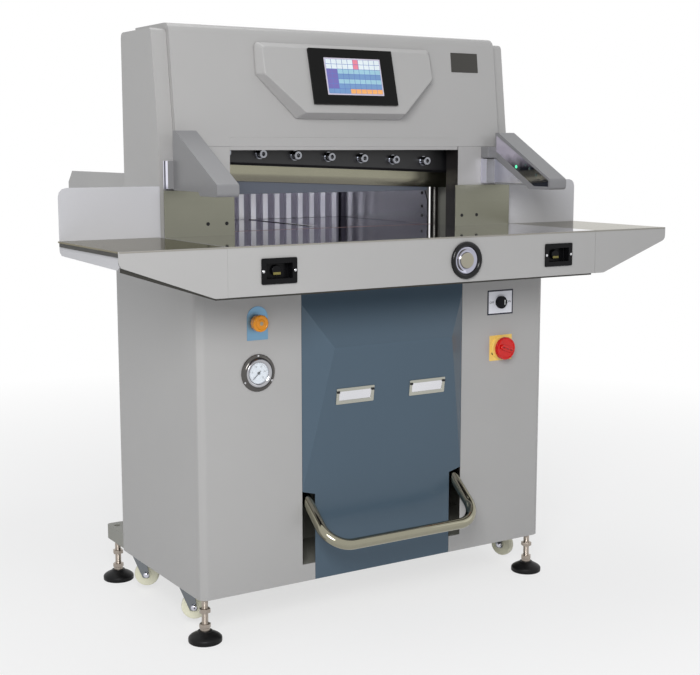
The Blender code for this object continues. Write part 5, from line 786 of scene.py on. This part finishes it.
# Upper covers
# Folded steel covers: the leaning centre cover with its rolled top edge, two end covers with their
# post plates, and the ventilated rear cover. The six-sided console stands out of the centre cover,
# and a bare dark plate sits at the upper right.
# painted shade: the end covers' inner sides beside the opening are dark for the shade that falls
# there
post_side_shade = painted("painted_post_shade", (30, 27, 27), 0.4, 260, 0.0001)
cover_foot, cover_top = 1.0755, 1.3407
cover_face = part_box("front_cover")[0].y
post_inside = 0.32
for node in ("front_cover", "end_cover_left", "end_cover_right", "rear_cover"):
    cover = from_frame(node)
    for vertex in cover.data.vertices:
        vertex.co.z = min(vertex.co.z, cover_top)
    settle(cover, f"{node}_sheet", light_coat, "frame", [node])
    # the inner sides get the painted shade
    repaint(
        cover,
        post_side_shade,
        lambda centre, normal: "end" in node
        and abs(centre.x) < post_inside
        and normal.x * centre.x < -0.15,
    )
cover_slope = 0.0323
cover_lean = math.atan2(cover_slope, cover_top - cover_foot)
# the console's face is tilted: its foot stands 17.5 mm further out than its head
console_out, console_height, console_head, console_raised = 0.0175, 0.131, 1.2998, 0.010
console_lean = cover_lean + math.atan2(console_out, console_height)
console = from_frame("console_bezel", 0.002, 3)
for vertex in console.data.vertices:
    cover_y = cover_face + (vertex.co.z - cover_foot) * math.tan(cover_lean)
    if cover_y - vertex.co.y > console_raised:
        vertex.co.y -= console_out * max(0.0, console_head - vertex.co.z) / console_height
settle(console, "console_housing", light_coat, "frame", ["console_bezel"])


def on_cover(x, rise, proud):
    """A place on the leaning cover: so far up from its lower edge and so far in front of it."""
    lean_y, lean_z = math.sin(cover_lean), math.cos(cover_lean)
    y = cover_face + rise * lean_y - proud * lean_z
    return (x, y, cover_foot + rise * lean_z + proud * lean_y)


plate_dark = moulded("dark_info_plate", (38, 36, 30), 0.3, 300, 0.00003, coat=0.3)
info = round_edges(plate(0.0815, 0.0475, 0.0008, 0.0012), 0.0002)
put(info, on_cover(0.3487, 0.2055, 0.0001), (-cover_lean, 0, 0))
settle(info, "info_plate", plate_dark)

# Touch screen
# A glossy black frame set in the console, round a lit display. The display shows a plain start page
# of coloured tiles, with nothing written on it.
screen_frame = moulded("screen_frame", (16, 16, 16), 0.20, 600, 0.00001, shine=0.12)
screen_rim = moulded("screen_rim", (196, 190, 205), 0.3, 600, 0.00002, light=0.2)
low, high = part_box("touch_screen")
screen_middle = (low.z + high.z) / 2
screen_proud = 0.0280
screen_rise = (screen_middle - cover_foot) / math.cos(cover_lean)
screen_face = on_cover(0, screen_rise, screen_proud)[1] - console_out / 2


def on_screen(piece, proud):
    """Puts a piece at the middle of the display, so far in front of the glass."""
    y = screen_face - proud * math.cos(console_lean)
    z = screen_middle + proud * math.sin(console_lean)
    return put(piece, (0, y, z), (-console_lean, 0, 0))


housing = on_screen(round_edges(plate(0.2270, 0.1310, 0.0080, 0.0015), 0.0008), -0.0080)
settle(housing, "screen_housing", screen_frame, "frame", ["touch_screen"])
rim = on_screen(plate(0.1530, 0.0870, 0.0004, 0.0004), -0.0001)
settle(rim, "display_rim", screen_rim)
columns, rows = 10, 7
page_width, page_height = 0.1470, 0.0810
deselect()
bpy.ops.mesh.primitive_grid_add(
    x_subdivisions=columns, y_subdivisions=rows, size=1, rotation=(math.pi / 2, 0, 0)
)
page = bpy.context.object
page.scale = (page_width, page_height, 1)
bpy.ops.object.transform_apply(location=False, rotation=True, scale=True)
open_mesh()
bpy.ops.mesh.inset(thickness=0.0005, depth=0.0002, use_individual=True)
bpy.ops.object.mode_set(mode="OBJECT")
tile_area = max(face.area for face in page.data.polygons) * 0.9
tiles = [
    (face.index, face.center.x, face.center.z)
    for face in page.data.polygons
    if face.area > tile_area
]
on_screen(page, 0.0006)
screen_lights = [
    moulded(f"screen_{name}", colour, 0.25, 900, 0.0, coat=0.3, light=0.3)
    for name, colour in (
        ("ground_blue", (84, 108, 172)),
        ("pale_field", (208, 218, 222)),
        ("sky_tile", (144, 184, 200)),
        ("deep_tile", (104, 138, 180)),
        ("violet_tile", (104, 98, 162)),
        ("red_tile", (212, 120, 140)),
        ("orange_bar", (222, 160, 96)),
    )
]
settle(page, "display_page", screen_lights[0])
for light in screen_lights[1:]:
    page.data.materials.append(light)
for index, x, z in tiles:
    column = int((x + page_width / 2) / (page_width / columns))
    row = int((page_height / 2 - z) / (page_height / rows))
    look = 2 + row % 2
    if row < 2:
        look = 1 if column != 5 else 5
    elif column < 2 and row < 6:
        look = 4
    elif row == 6:
        look = 6 if column > 3 else 3
    page.data.polygons[index].material_index = look

# Light-curtain arms
# A coated cast housing on each post, with a smoky lens along its inner side and a green lamp in it.
# The lens is painted lighter towards its top, a painted reflection. A bright steel bracket block
# clamps it to the post, the groove in it a dark strip of painted shade.
arm_coat = painted("arm_coat", (134, 134, 136), 0.30, 420, 0.00005, shine=0.35)
# the lens: dark smoke, painted lighter from its lower to its upper edge with a cloud through it, as
# a painted reflection
lens_group, given = effect_of(
    "lens_smoke_and_reflection_effect", Smoke=linear(22, 24, 32), Haze=linear(176, 170, 184)
)
place = add_node(lens_group, "TexCoord").outputs["Object"]
height = add_node(lens_group, "SeparateXYZ", None, place).outputs["Z"]
cloud = add_node(lens_group, "TexNoise", Vector=place, Scale=60).outputs["Fac"]
rise = add_node(lens_group, "Math", "MULTIPLY_ADD", cloud, 0.022, height).outputs[0]
ramp = add_node(lens_group, "MapRange", Value=rise, From_Min=1.036, From_Max=1.070)
mixed = add_node(lens_group, "Mix", Factor=ramp.outputs["Result"])
mixed.data_type = "RGBA"
lens_group.links.new(given["Smoke"], mixed.inputs[6])
lens_group.links.new(given["Haze"], mixed.inputs[7])
gloss = add_node(lens_group, "Math", "MULTIPLY", cloud, 0.12).outputs[0]
put_out(lens_group, mixed.outputs[2], gloss, cloud)
lens_dark = skin("lens_smoke_and_reflection", lens_group, {}, 0.0, shine=0.8)
lamp_green = moulded("lamp_green", (90, 226, 170), 0.2, 900, 0.0, light=0.9)
bracket_steel = metal_skin("bracket_steel", (232, 232, 244), (6, 6, 300), 0.26, 0.08)
# painted shade: a dark strip on each bracket block stands for the shade in its groove
painted_groove_shade = moulded("bracket_groove_shade", (60, 60, 78), 0.35)
eye_grey = moulded("beam_eye_grey", (70, 88, 88), 0.25)
lamp_profile = [
    (0.0001, 0), (0.0040, 0), (0.0040, 0.0006), (0.0030, 0.0014), (0.0014, 0.0018),
    (0.0001, 0.0018),
]
lamp_model = turned(lamp_profile, 32)
eye_model = turned([(0.0001, 0), (0.0034, 0), (0.0032, 0.0003), (0.0001, 0.0003)], 24)
groove_shade_model = plate(0.0058, 0.0600, 0.0006, 0.0004)
lens_x, lens_inset = 0.4125, 0.0016
nose_y, nose_out = -0.2650, 0.007
bracket_side, bracket_out = 0.469, 0.006
bracket_front, bracket_top = -0.2742, 1.0468
for side, name in sides:
    arm = from_frame(f"light_arm_{name}", 0)
    for vertex in arm.data.vertices:
        if vertex.co.y < nose_y:
            vertex.co.y -= nose_out
        if abs(vertex.co.x) > bracket_side:
            vertex.co.x += side * bracket_out
    round_edges(arm, 0.0026)
    settle(arm, f"arm_housing_{name}", arm_coat, "frame", [f"light_arm_{name}"])
    repaint(
        arm,
        lens_dark,
        lambda centre, normal: normal.x * side < -0.9
        and 0.0012 < abs(centre.x) - lens_x < 0.0018,
    )
    repaint(
        arm,
        bracket_steel,
        lambda centre, normal: centre.y > bracket_front and centre.z < bracket_top,
    )
    lens_face = side * lens_x + side * lens_inset
    inwards = (0, -side * math.pi / 2, 0)
    lamp = placed(lamp_model, (lens_face, -0.1190 - zero_shift, 1.0262), inwards)
    settle(lamp, f"arm_lamp_{name}", lamp_green)
    for count, y, z in ((1, -0.1538, 1.0310), (2, -0.1687, 1.0225), (3, -0.1943, 1.0068)):
        eye = placed(eye_model, (lens_face, y - zero_shift, z), inwards)
        settle(eye, f"beam_eye_{count}_{name}", eye_grey)
    cheek = plate(0.0200, 0.0100, 0.0006, 0.0004, steps=1)
    for vertex in cheek.data.vertices:
        rear, upper = vertex.co.x < 0, vertex.co.z > 0
        vertex.co.x = 0.0380 if rear else (0.0410 if upper else 0.1480)
        vertex.co.z = 1.0445 if upper else 0.9865
    put(cheek, (side * lens_x, -zero_shift, 0), (0, 0, -math.pi / 2))
    settle(cheek, f"arm_cheek_{name}", bracket_steel)
    # the dark strips of painted shade for the grooves, on the front and on the side
    for view, x, y, turn in (
        ("front", 0.4030, -0.2734, 0),
        ("side", 0.4760, -0.2590, side * math.pi / 2),
    ):
        groove = placed(groove_shade_model, (side * x, y, 1.015), (0, 0, turn))
        settle(groove, f"bracket_groove_shade_{view}_{name}", painted_groove_shade)
scrap(lamp_model, eye_model, groove_shade_model)

# Push-button boxes
# Two moulded black boxes let into the apron, each held by a screw left and right. The button stands
# at the bottom of the well, so that it can't be pressed by accident, with a dull yellow band below.


def middle_of(node):
    """The x and z of the middle of a solid of the frame."""
    low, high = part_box(node)
    return (low.x + high.x) / 2, (low.z + high.z) / 2


box_black = moulded("box_black", (15, 15, 17), 0.26, 800, shine=0.12)
band_yellow = moulded("band_yellow", (128, 120, 66), 0.5)
screw_chrome = metal_skin("screw_chrome", (205, 205, 208), (60, 60, 60), 0.12, 0.1)
head_profile = [
    (0.0001, 0), (0.0030, 0), (0.0029, 0.0005), (0.0022, 0.0011), (0.0010, 0.0014),
    (0.0001, 0.0014),
]
head_model = turned(head_profile, 32)
band_model = plate(0.0170, 0.0050, 0.0006, 0.0006)
band_drop, box_screw_reach = 0.0060, 0.0365
for name in ("left", "right"):
    box, button, body = f"button_box_{name}", f"cut_button_{name}", f"cut_button_{name}"
    centre_x, centre_z = middle_of(box)
    dress(box, f"button_case_{name}", box_black)
    dress(button, f"push_button_{name}", box_black, body, 0.0006, 3)
    band = placed(band_model, (centre_x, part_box(button)[0].y, centre_z - band_drop))
    settle(band, f"button_band_{name}", band_yellow, body)
    for end, reach in (("left", -box_screw_reach), ("right", box_screw_reach)):
        here = (centre_x + reach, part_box(box)[0].y + 0.0002, centre_z)
        screw = placed(head_model, here, forward)
        settle(screw, f"button_box_screw_{end}_{name}", screw_chrome)
scrap(head_model, band_model)

# Handwheel
# The wheel that fine-sets the backgauge by hand, nearly flush with the apron: a glossy black rim, a
# dished chromed ring and a brushed centre cap, turned in one line.
rim_black = moulded("handwheel_black", (12, 12, 14), 0.16, 500, 0.00002, shine=0.3)
dish_chrome = metal_skin("dish_chrome", (172, 172, 186), (60, 60, 60), 0.05, 0.04, 0.0)
cap_steel = metal_skin("brushed_cap", (158, 154, 140), (300, 300, 8), 0.28, 0.1)
rim_profile = [
    (0.0300, 0.0002), (0.0406, 0.0002), (0.0415, 0.0012), (0.0415, 0.0034), (0.0408, 0.0056),
    (0.0390, 0.0074), (0.0366, 0.0082), (0.0342, 0.0078), (0.0322, 0.0064), (0.0306, 0.0044),
    (0.0300, 0.0030), (0.0300, 0.0002),
]
dish_profile = [
    (0.0180, 0.0002), (0.0299, 0.0002), (0.0299, 0.0030), (0.0290, 0.0036), (0.0276, 0.0038),
    (0.0258, 0.0030), (0.0240, 0.0018), (0.0222, 0.0010), (0.0204, 0.0008), (0.0190, 0.0012),
    (0.0180, 0.0022), (0.0180, 0.0002),
]
cap_profile = [
    (0.0001, 0.0002), (0.0179, 0.0002), (0.0179, 0.0052), (0.0172, 0.0062), (0.0158, 0.0066),
    (0.0001, 0.0070),
]
wheel_x, wheel_z = middle_of("handwheel")
wheel_spot = (wheel_x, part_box("handwheel")[1].y, wheel_z)
for name, material, profile, replaced in (
    ("handwheel_rim", rim_black, rim_profile, ["handwheel"]),
    ("handwheel_dish", dish_chrome, dish_profile, []),
    ("handwheel_cap", cap_steel, cap_profile, []),
):
    model = put(turned(profile, 72, bored=profile[0] == profile[-1]), wheel_spot, forward)
    settle(model, name, material, "handwheel", replaced)

# Pressure knob and its plate
# The clamp pressure is set by an orange fluted knob with a grey centre cap, in front of a blue
# anodised plate with a round top that is fixed to the left cabinet.
anodised = metal_skin("blue_anodised", (120, 158, 186), (6, 200, 200), 0.42, 0.12, 0.00002)
orange = moulded("knob_orange", (236, 150, 20), 0.16, 500, 0.00003, coat=0.2)
cap_grey = moulded("knob_cap_grey", (168, 162, 140), 0.3)
knob_x, knob_z = middle_of("pressure_knob")
cabinet_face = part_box("pressure_knob")[1].y
arch = plate(0.0510, 0.0735, 0.0008, 0.0254, arched=True, steps=24)
round_edges(put(arch, (knob_x, cabinet_face + 0.0002, knob_z - 0.0010)), 0.0002)
settle(arch, "arch_plate", anodised)
knob_spot = (knob_x, cabinet_face - 0.0008, knob_z)
knob_profile = [
    (0.0001, 0.0000), (0.0165, 0.0000), (0.0178, 0.0012), (0.0188, 0.0130), (0.0188, 0.0158),
    (0.0172, 0.0180), (0.0140, 0.0188), (0.0132, 0.0180), (0.0100, 0.0176), (0.0080, 0.0186),
    (0.0001, 0.0190),
]
grip = put(round_edges(turned(knob_profile, 12), 0.0007), knob_spot, forward)
settle(grip, "pressure_knob_grip", orange, "pressure_knob", ["pressure_knob"], angle=20)
knob_cap = [(0.0001, 0), (0.0042, 0), (0.0042, 0.0006), (0.0034, 0.0014), (0.0001, 0.0015)]
cap = put(turned(knob_cap, 32), knob_spot, forward)
cap.location.y -= 0.0186
settle(cap, "pressure_knob_cap", cap_grey, "pressure_knob")

# Pressure gauge
# A panel gauge with a wide chromed flange held by three screws, its outer ring a darker chrome for
# a painted reflection, a white dial with plain figures that glows a little as painted light, a
# black hand and a clear glass.


def lettering(word, size, location):
    """Printed letters or figures, made a mesh and facing the front."""
    deselect()
    bpy.ops.object.text_add()
    printed = bpy.context.object
    printed.data.body = word
    printed.data.size = size
    printed.data.align_x = "CENTER"
    printed.data.align_y = "CENTER"
    bpy.ops.object.convert(target="MESH")
    return put(printed, location, forward)


gauge_chrome = metal_skin("gauge_chrome", (176, 176, 180), (60, 60, 60), 0.10, 0.06, 0.0)
# painted reflection: a darker copy of the chrome for the flange's outer ring
flange_dark_reflection = metal_skin("gauge_chrome_painted_dark", (92, 90, 88), (60, 60, 60), 0.14, 0.08, 0.0)
# painted light: the dial glows a little, though it is no lamp
dial_white_painted_glow = moulded("dial_white_painted_glow", (232, 236, 242), 0.5, 900, 0.0, light=0.12)
print_black = moulded("dial_print", (30, 32, 38), 0.5)
clear_glass = moulded("gauge_glass", (225, 235, 240), 0.05, 900, 0.0, alpha=0.12)
dial_x, dial_z = middle_of("pressure_gauge")
case_profile = [
    (0.0001, -0.0345), (0.0235, -0.0345), (0.0240, -0.0335), (0.0240, -0.0002),
    (0.0400, -0.0002), (0.0409, 0.0008), (0.0409, 0.0018), (0.0400, 0.0028), (0.0372, 0.0034),
    (0.0340, 0.0044), (0.0320, 0.0060), (0.0308, 0.0080), (0.0296, 0.0089), (0.0280, 0.0088),
    (0.0262, 0.0080), (0.0244, 0.0070), (0.0234, 0.0060), (0.0230, 0.0031), (0.0001, 0.0031),
]
flange_radius, dial_radius = 0.0312, 0.0228
flange_screws, figures = 0.0374, 0.0150  # how far from the middle
case = put(turned(case_profile, 96), (dial_x, cabinet_face, dial_z), forward)
settle(case, "gauge_case", gauge_chrome, "frame", ["pressure_gauge"])


def off_dial(centre):
    return math.hypot(centre.x - dial_x, centre.z - dial_z)


repaint(case, flange_dark_reflection, lambda centre, normal: off_dial(centre) > flange_radius)
repaint(case, dial_white_painted_glow, lambda centre, normal: normal.y < -0.9 and off_dial(centre) < dial_radius)


def round_dial(radius, degrees, y):
    """A place round the dial's middle, so many degrees on from three o'clock."""
    turn = math.radians(degrees)
    return (dial_x + radius * math.cos(turn), y, dial_z + radius * math.sin(turn))


head_model = turned(
    [(0.0001, 0), (0.0024, 0), (0.0022, 0.0006), (0.0012, 0.0010), (0.0001, 0.0010)], 24
)
for count, bearing in enumerate((90, 210, 330)):
    screw = placed(head_model, round_dial(flange_screws, bearing, cabinet_face - 0.0030), forward)
    settle(screw, f"gauge_screw_{count + 1}", screw_chrome)
scrap(head_model)
print_y = cabinet_face - 0.0031
scale_start, scale_sweep = 225, 270
marks = []
for count in range(26):
    bearing = scale_start - scale_sweep * count / 25
    length, width, reach = (0.0034, 0.0006, 0.0200) if count % 5 == 0 else (0.0020, 0.0004, 0.0207)
    mark = plate(length, width, 0.0001, 0.0001, steps=1)
    marks.append(put(mark, round_dial(reach, bearing, print_y), (0, -math.radians(bearing), 0)))
for count in range(6):
    here = round_dial(figures, scale_start - scale_sweep * count / 5, print_y - 0.0001)
    marks.append(lettering(str(count * 5), 0.0056, here))
deselect()
for mark in marks:
    mark.select_set(True)
bpy.context.view_layer.objects.active = marks[0]
bpy.ops.object.transform_apply(location=True, rotation=True, scale=True)
bpy.ops.object.join()
settle(marks[0], "dial_print", print_black)
dress("gauge_needle", "gauge_hand", print_black, "gauge_needle", 0.0002)
glass = turned(
    [(0.0001, 0.0066), (0.0236, 0.0066), (0.0236, 0.0071), (0.0180, 0.0078), (0.0001, 0.0081)]
)
settle(put(glass, (dial_x, cabinet_face, dial_z), forward), "gauge_lens", clear_glass)

# Selector switch
# A round glossy black knob with a white pointer, on a white plate with a dark border line and with
# ON and OFF printed beside it.
plate_white = moulded("plate_white", (244, 245, 252), 0.35, 500)
plate_line = moulded("plate_line", (28, 28, 46), 0.4)
knob_black = moulded("knob_black", (8, 8, 16), 0.14, 700, 0.00002, shine=0.12)
pointer_white = moulded("pointer_white", (232, 234, 232), 0.3)
selector_x, selector_z = middle_of("selector_knob")
border = put(plate(0.0780, 0.0600, 0.0005, 0.0010), (selector_x, cabinet_face + 0.0002, selector_z))
settle(border, "selector_plate_border", plate_line)
field = put(plate(0.0710, 0.0530, 0.0004, 0.0008), (selector_x, cabinet_face - 0.0002, selector_z))
settle(field, "selector_plate", plate_white)
selector_profile = [
    (0.0001, 0), (0.0148, 0), (0.0152, 0.0008), (0.0152, 0.0070), (0.0142, 0.0084),
    (0.0120, 0.0090), (0.0001, 0.0092),
]
grip = turned(selector_profile, 48)
put(grip, (selector_x, cabinet_face - 0.0006, selector_z), forward)
settle(grip, "selector_grip", knob_black, "selector", ["selector_knob"])
pointer = round_edges(plate(0.0026, 0.0120, 0.0006, 0.0006), 0.0002)
put(pointer, (selector_x + 0.0070, cabinet_face - 0.0095, selector_z))
settle(pointer, "selector_pointer", pointer_white, "selector")
for word, reach in (("OFF", -0.0262), ("ON", 0.0262)):
    printed = lettering(word, 0.0078, (selector_x + reach, cabinet_face - 0.00065, selector_z))
    settle(printed, f"selector_word_{word}", plate_line)

# Main switch
# A red rotary grip with a raised bar, on a yellow plate that is fixed to the right cabinet, with a
# small dark locking screw in the plate.
switch_yellow = moulded("switch_yellow", (248, 212, 116), 0.32, 500, 0.00004)
switch_scarlet = moulded("switch_scarlet", (214, 20, 16), 0.12, 500, 0.00003, shine=0.4)
# painted shade: the three slots in the grip's bar are flat plates of a darker red for the shade in
# them
slot_shade = moulded("painted_slot_shade", (96, 10, 14), 0.4)
switch_x, switch_z = middle_of("main_switch_knob")
yellow = round_edges(plate(0.0690, 0.0620, 0.0022, 0.0020), 0.0004)
put(yellow, (switch_x, cabinet_face + 0.0020, switch_z))
settle(yellow, "main_switch_plate", switch_yellow)
lock = cap_screw(0.0040, 0.0012, 0.7)
put(lock, (switch_x - 0.0240, cabinet_face, switch_z - 0.0125), forward)
settle(lock, "main_switch_lock_screw", black_screw)
collar_profile = [
    (0.0001, 0), (0.0290, 0), (0.0290, 0.0030), (0.0276, 0.0052), (0.0240, 0.0060),
    (0.0001, 0.0060),
]
collar = put(turned(collar_profile), (switch_x, cabinet_face - 0.0002, switch_z), forward)
settle(collar, "main_switch_collar", switch_yellow)
grip_profile = [
    (0.0001, 0.0064), (0.0205, 0.0064), (0.0212, 0.0090), (0.0258, 0.0120), (0.0275, 0.0140),
    (0.0275, 0.0206), (0.0266, 0.0230), (0.0246, 0.0242), (0.0226, 0.0240), (0.0218, 0.0226),
    (0.0001, 0.0222),
]
grip = put(turned(grip_profile, 72), (switch_x, cabinet_face, switch_z), forward)
settle(grip, "main_switch_grip", switch_scarlet, "main_switch", ["main_switch_knob"])
bar_turn = 0.35
bar = round_edges(plate(0.0400, 0.0120, 0.0056, 0.0050), 0.0016, 3)
put(bar, (switch_x, cabinet_face - 0.0222, switch_z), (0, bar_turn, 0))
settle(bar, "main_switch_bar", switch_scarlet, "main_switch")
# the slots' plates carry the painted shade
slot_model = round_edges(plate(0.0075, 0.0022, 0.0006, 0.0008), 0.0001)
for place, reach in (("first", -0.0115), ("second", 0.0), ("third", 0.0115)):
    x, z = switch_x + reach * math.cos(bar_turn), switch_z - reach * math.sin(bar_turn)
    slot = placed(slot_model, (x, cabinet_face - 0.0276, z), (0, bar_turn, 0))
    settle(slot, f"main_switch_slot_{place}", slot_shade, "main_switch")
scrap(slot_model)
